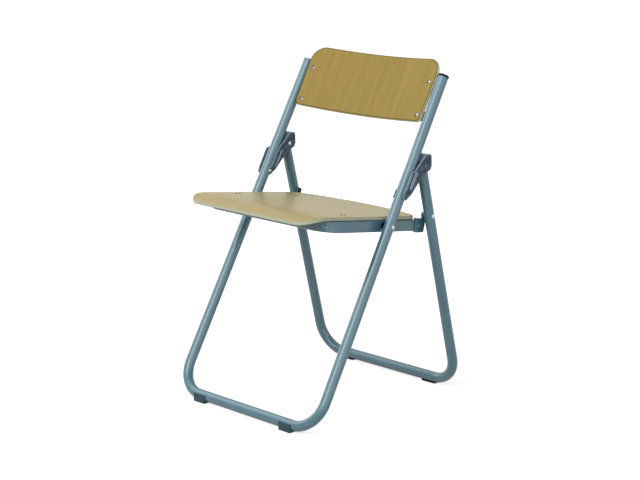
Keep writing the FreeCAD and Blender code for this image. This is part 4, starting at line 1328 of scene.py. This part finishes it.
def weld_bead(
    name: str, line: Sequence[Vector], radius: float, count: int = 14, ripple: float = 0.12
) -> bpy.types.Object:
    """Rippled weld bead along a line.

    Args:
        name: Piece's name.
        line: Points of the bead's middle.
        radius: Bead's radius.
        count: Points round the bead.
        ripple: Share by which the radius swings.

    Returns:
        The new piece.
    """
    build = bmesh.new()
    direction = (line[-1] - line[0]).normalized()
    side = direction.orthogonal().normalized()
    other = direction.cross(side)
    rings = []
    last = len(line) - 1
    for index, point in enumerate(line):
        end = min(index, last - index)
        swell = radius * (1 - ripple + ripple * math.cos(index * math.pi)) * min(1.0, 0.45 + 0.3 * end)
        circle = ring(count, 0.0, steady(swell))
        rings.append([point + side * p.x + other * p.y for p in circle])
    MeshMaker.skin(build, rings, True, True)
    piece = MeshMaker.finish(name, build, 50)
    smooth = piece.modifiers.new("bead", "SUBSURF")
    smooth.levels = 1
    smooth.render_levels = 1
    return piece


def attach(palette: Palette, piece: bpy.types.Object, body: Body, slot: Slot, *stands_for: str) -> None:
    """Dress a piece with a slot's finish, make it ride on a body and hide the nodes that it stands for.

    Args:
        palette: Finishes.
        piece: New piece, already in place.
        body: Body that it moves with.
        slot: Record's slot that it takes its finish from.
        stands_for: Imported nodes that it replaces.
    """
    palette.dress(piece, slot)
    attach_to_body(piece, body.value)
    if stands_for:
        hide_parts(*stands_for)
    LOG.info("%s rides on %s", piece.name, body.value)


@dataclass
class SeatHardware:
    """Seat panel's bend, welds of the seat tabs, and bright spots on the rails' front bends as painted
    highlights.
    """

    pivot: Vector
    tilt: float
    panel: float = 8 * MM
    panel_top: float = 18 * MM
    lip_radius: float = 112 * MM
    lip_back: float = -166 * MM
    rail_inner_x: float = 172.0 * MM
    rail_top: float = 10.0 * MM
    tab_drop: float = 17.0 * MM
    tab_half_length: float = 15.0 * MM
    tab_middles: tuple[float, float] = (-92.3 * MM, 60.0 * MM)
    weld_radius: float = 1.4 * MM
    weld_steps: int = 32
    weld_drop: float = 0.3 * MM
    weld_bite: float = 1.0 * MM
    bend_middle: tuple[float, float] = (138.0 * MM, -119.0 * MM)
    bend_outside: float = 46.0 * MM
    spot_turns: tuple[float, float] = (-54.5, -45.7)
    spot_up: float = -4.0 * MM
    spot_radius: float = 1.5 * MM
    spot_height: float = 0.6 * MM
    spot_points: int = 20
    spot_rings: tuple[float, ...] = (1.0, 0.94, 0.8, 0.6, 0.4, 0.2, 0.05)

    def point(self, across: float, back: float, up: float) -> Vector:
        """Point of the seat's own frame in the chair's frame.

        Args:
            across: Along X.
            back: Behind the pivot, along the seat.
            up: Above the pivot.

        Returns:
            The point in the chair's frame.
        """
        return self.pivot + Matrix.Rotation(-self.tilt, 3, "X") @ Vector((across, back, up))

    def rail_glint_spots(self, side: Side) -> bpy.types.Object:
        """Two low domes like spot welds on the outside of a rail's front bend, dressed bright as painted
        highlights.

        Args:
            side: Side of the chair.

        Returns:
            The new piece.
        """
        build = bmesh.new()
        across, back = self.bend_middle
        for turn in map(math.radians, self.spot_turns):
            outward = Vector((math.cos(turn), math.sin(turn), 0.0))
            along = Vector((-math.sin(turn), math.cos(turn), 0.0))
            rings = []
            for share in self.spot_rings:
                rise = self.bend_outside + self.spot_height * (0.5 - share ** 2)
                centre = Vector((across, back, self.spot_up)) + outward * rise
                circle = ring(self.spot_points, 0.0, steady(self.spot_radius * share))
                flat = [centre + along * p.x + Vector((0.0, 0.0, p.y)) for p in circle]
                rings.append([self.point(side.value * p.x, p.y, p.z) for p in flat])
            MeshMaker.skin(build, rings, True, True)
        return MeshMaker.finish(f"rail_glint_spots_{side.word}", build, 60)

    def build(self, palette: Palette) -> None:
        """Make and dress the tab welds and the bright spots.

        Args:
            palette: Finishes.
        """
        for side in Side:
            # Painted highlights: the spots are dressed in bright zinc.
            spots = self.rail_glint_spots(side)
            attach(palette, spots, Body.SEAT, Slot.ZINC_STEEL)
        low = self.rail_top - self.tab_drop - self.weld_drop
        near = self.rail_inner_x - self.weld_bite
        for word, middle in zip(("front", "rear"), self.tab_middles):
            backs = [middle + self.tab_half_length * share for share in even_shares(self.weld_steps)]
            for side in Side:
                line = [self.point(side.value * near, back, low) for back in backs]
                bead = weld_bead(f"seat_weld_{word}_{side.word}", line, self.weld_radius)
                attach(palette, bead, Body.SEAT, Slot.FRAME_PAINT)


def aim_at(thing: bpy.types.Object, spot: Sequence[float], target: Sequence[float]) -> None:
    """Put a lamp or a camera in the scene, looking at a target.

    Args:
        thing: Lamp or camera.
        spot: Its place.
        target: Point that it looks at.
    """
    toward = Vector(target) - Vector(spot)
    thing.location = spot
    thing.rotation_euler = toward.to_track_quat("-Z", "Y").to_euler()
    bpy.context.scene.collection.objects.link(thing)


@dataclass(frozen=True)
class Lamp:
    """Soft rectangular lamp aimed at the chair's middle."""

    name: str
    spot: tuple[float, float, float]
    size: tuple[float, float]
    watts: float
    target: tuple[float, float, float] = (0.0, 0.0, 0.4)

    def build(self) -> None:
        """Add the lamp to the scene."""
        data = bpy.data.lights.new(self.name, "AREA")
        data.shape = "RECTANGLE"
        data.size, data.size_y = self.size
        data.energy = self.watts
        aim_at(bpy.data.objects.new(self.name, data), self.spot, self.target)


@dataclass
class Studio:
    """White studio: floor, world light, soft lamps and the camera.

    The key lamp stands in front, the side lamp on the picture's left and the fill on its right.
    """

    floor_half: float = 30.0
    floor_albedo: float = 0.46
    floor_glow: float = 0.72
    glow_span: tuple[float, float] = (0.4, 1.2)
    room_light: float = 0.18
    lens: float = 91.38
    sensor: float = 36.0
    eye: tuple[float, float, float] = (2.3658, -2.39935, 1.1223)
    aim: tuple[float, float, float] = (-0.00425, 0.00586, 0.33634)
    lamps: tuple[Lamp, ...] = (
        Lamp("key_lamp", (0.4, -3.4, 3.1), (3.8, 3.0), 178.0),
        Lamp("side_lamp", (-3.0, -0.6, 2.6), (3.8, 3.8), 84.0),
        Lamp("fill_lamp", (4.2, -0.9, 1.7), (7.0, 4.0), 104.0),
    )

    def shown_rays(self, board: Board) -> Socket:
        """One for rays that show the background itself or its mirror image.

        Args:
            board: Board of the floor or the world.

        Returns:
            Value socket.
        """
        path = board.node("ShaderNodeLightPath").outputs
        mirrored = board.math("MAXIMUM", path["Is Glossy Ray"], path["Is Transmission Ray"])
        return board.math("MAXIMUM", path["Is Camera Ray"], mirrored)

    def build_world(self) -> None:
        """White background and an even room light."""
        world = bpy.data.worlds.new("studio_world")
        bpy.context.scene.world = world
        world.use_nodes = True
        board = Board(world.node_tree)
        light = world.node_tree.nodes["Background"]
        light.inputs["Color"].default_value = (1.0, 1.0, 1.0, 1.0)
        shown = self.shown_rays(board)
        board.feed(light.inputs["Strength"], board.ramp(shown, 0.0, 1.0, self.room_light, 1.0))

    def build_floor(self) -> None:
        """Pale floor that keeps a soft shadow and shows white elsewhere."""
        build = bmesh.new()
        half = self.floor_half
        corners = ((-half, -half), (half, -half), (half, half), (-half, half))
        build.faces.new([build.verts.new((x, y, 0.0)) for x, y in corners])
        mesh = bpy.data.meshes.new("studio_floor")
        build.to_mesh(mesh)
        build.free()
        floor = bpy.data.objects.new("studio_floor", mesh)
        bpy.context.scene.collection.objects.link(floor)
        surface = Surface("Pale floor")
        board = surface.board
        surface.set(Base_Color=(self.floor_albedo, self.floor_albedo, self.floor_albedo, 1.0), Roughness=1.0)
        surface.set(Specular_IOR_Level=0.0, Emission_Color=(1.0, 1.0, 1.0, 1.0))
        away = board.node("ShaderNodeVectorMath", operation="LENGTH")
        board.feed(away.inputs[0], board.node("ShaderNodeNewGeometry").outputs["Position"])
        glow = board.ramp(away.outputs["Value"], *self.glow_span, self.floor_glow, 1.0)
        surface.set(Emission_Strength=board.math("MULTIPLY", self.shown_rays(board), glow))
        mesh.materials.append(surface.material)

    def build_camera(self) -> None:
        """Camera at the photograph's place."""
        data = bpy.data.cameras.new("photo_camera")
        data.lens = self.lens
        data.sensor_width = self.sensor
        data.dof.use_dof = False
        camera = bpy.data.objects.new("photo_camera", data)
        aim_at(camera, self.eye, self.aim)
        bpy.context.scene.camera = camera

    def build(self) -> None:
        """Build the whole studio."""
        bpy.context.scene.view_settings.view_transform = "Standard"
        self.build_world()
        self.build_floor()
        for lamp in self.lamps:
            lamp.build()
        self.build_camera()


def paint_finishes(read: FrameRead, plane: FrontPlane) -> dict[Slot, Finish]:
    """Paints of the tube frames and of the hinge links.

    Args:
        read: Sizes and places of the frame.
        plane: Front tubes' plane, which the links lean with.

    Returns:
        Finishes by slot.
    """
    frame_paint = PaintFinish(
        "Blue-grey paint",
        colour=srgb(65, 106, 120),
        shade=srgb(60, 99, 112),
        worn=srgb(140, 152, 154),
        soil_and_shade=srgb(24, 36, 40),
        roughness=0.22,
        specular=0.68,
        metallic=0.03,
        floor_shade=0.8,
    )
    relief = PressedRelief(
        pivot=read.joints["link_fold"],
        lean=plane.lean,
        # The plates get painted shade on their floors and a painted highlight on their ribs.
        floor=srgb(22, 44, 58),
        shade_patch=srgb(66, 94, 106),
        crest_highlight=srgb(130, 146, 164),
    )
    link_paint = PaintFinish(
        "Purple-grey paint",
        colour=srgb(112, 134, 150),
        shade=srgb(102, 123, 138),
        worn=srgb(156, 164, 172),
        soil_and_shade=srgb(22, 27, 33),
        roughness=0.35,
        specular=0.2,
        metallic=0.0,
        grime=0.15,
        relief=relief,
    )
    return {Slot.FRAME_PAINT: frame_paint, Slot.LINK_PAINT: link_paint}


def plywood_finishes(back: BackHardware, seat: SeatHardware) -> dict[Slot, Finish]:
    """Varnished plywood of the back and of the seat.

    Args:
        back: Back panel's hardware, for the panel's curve.
        seat: Seat's hardware, for the panel's bend.

    Returns:
        Finishes by slot.
    """
    back_place = SheetPlace(
        origin=Vector((0.0, back.plane.bar_y, back.plane.bar_z)),
        lean=back.plane.lean,
        bend_radius=back.curve_radius,
        bend_back=back.centre_depth - back.curve_radius,
        bend_up=0.0,
        grain_up=True,
        thickness=back.panel,
    )
    back_veneer = PlywoodFinish(
        "Back veneer",
        back_place,
        pale=srgb(150, 130, 72),
        dark=srgb(138, 118, 64),
        pore=srgb(113, 96, 50),
        # The back's ply edge is pale wood, made paler still as painted light, since the tube shades that
        # edge.
        edge_pale=srgb(238, 238, 204),
        edge_dark=srgb(216, 212, 168),
        # A dark olive border as painted shade along the back's edges.
        shaded_rim=srgb(76, 68, 30),
        shaded_rim_reach=4.5 * MM,
        roughness=0.48,
        specular=0.03,
    )
    seat_place = SheetPlace(
        origin=seat.pivot,
        lean=seat.tilt,
        bend_radius=seat.lip_radius,
        bend_back=seat.lip_back,
        bend_up=seat.panel_top - seat.lip_radius,
        grain_up=False,
        thickness=seat.panel,
    )
    seat_veneer = PlywoodFinish(
        "Seat veneer",
        seat_place,
        pale=srgb(162, 148, 98),
        dark=srgb(149, 134, 87),
        pore=srgb(124, 110, 67),
        edge_pale=srgb(172, 178, 155),
        edge_dark=srgb(148, 150, 121),
        # Painted shade along the seat's edges.
        shaded_rim=srgb(130, 123, 88),
        roughness=0.45,
        specular=0.35,
        coat=0.16,
        # Painted shade on the underside.
        underside_shade_share=0.85,
        # Painted shade on the rolled front lip.
        lip_shade_share=0.55,
    )
    return {Slot.BACK_PLYWOOD: back_veneer, Slot.SEAT_PLYWOOD: seat_veneer}


def hardware_finishes() -> dict[Slot, Finish]:
    """Steel of the fasteners, and plastic of the caps, feet, plugs and washers.

    Returns:
        Finishes by slot.
    """
    return {
        # Bright steel gets painted shade on its side that faces minus X.
        Slot.BRIGHT_STEEL: SteelFinish(
            "Bright steel", srgb(160, 157, 154), srgb(138, 136, 133), srgb(20, 19, 17),
            roughness=0.16, side_shade=0.95,
        ),
        Slot.ZINC_STEEL: SteelFinish(
            "Zinc steel", srgb(178, 180, 182), srgb(150, 152, 154), srgb(52, 50, 46), roughness=0.3
        ),
        Slot.RIVET_STEEL: RivetFinish(
            "Rivet steel", srgb(180, 187, 191), srgb(156, 165, 171), srgb(62, 80, 90)
        ),
        Slot.BLACK_STEEL: SteelFinish(
            "Blackened steel", srgb(54, 56, 58), srgb(38, 40, 42), srgb(14, 15, 16), roughness=0.35
        ),
        Slot.BLACK_PLASTIC: PlasticFinish(
            "Black plastic", srgb(8, 8, 9), srgb(20, 21, 22), roughness=0.6, specular=0.1
        ),
        Slot.GREY_PLASTIC: PlasticFinish(
            "Grey plastic", srgb(42, 64, 74), srgb(76, 100, 110), roughness=0.5, specular=0.2
        ),
    }


def main() -> None:
    """Load the frame, dress it, add the hardware and set the studio."""
    logging.basicConfig(level=logging.INFO, format="%(message)s")
    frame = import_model()
    read = FrameRead.read(frame)
    plane = FrontPlane.through_pivots(read)
    back = BackHardware(plane)
    seat = SeatHardware(read.joints["seat_fold"], math.radians(SEAT_TILT_DEGREES))
    finishes = paint_finishes(read, plane) | plywood_finishes(back, seat) | hardware_finishes()
    palette = Palette(EffectLibrary(), finishes)
    palette.dress_nodes(read)
    back.build(palette)
    seat.build(palette)
    Studio().build()


if __name__ == "__main__":
    main()
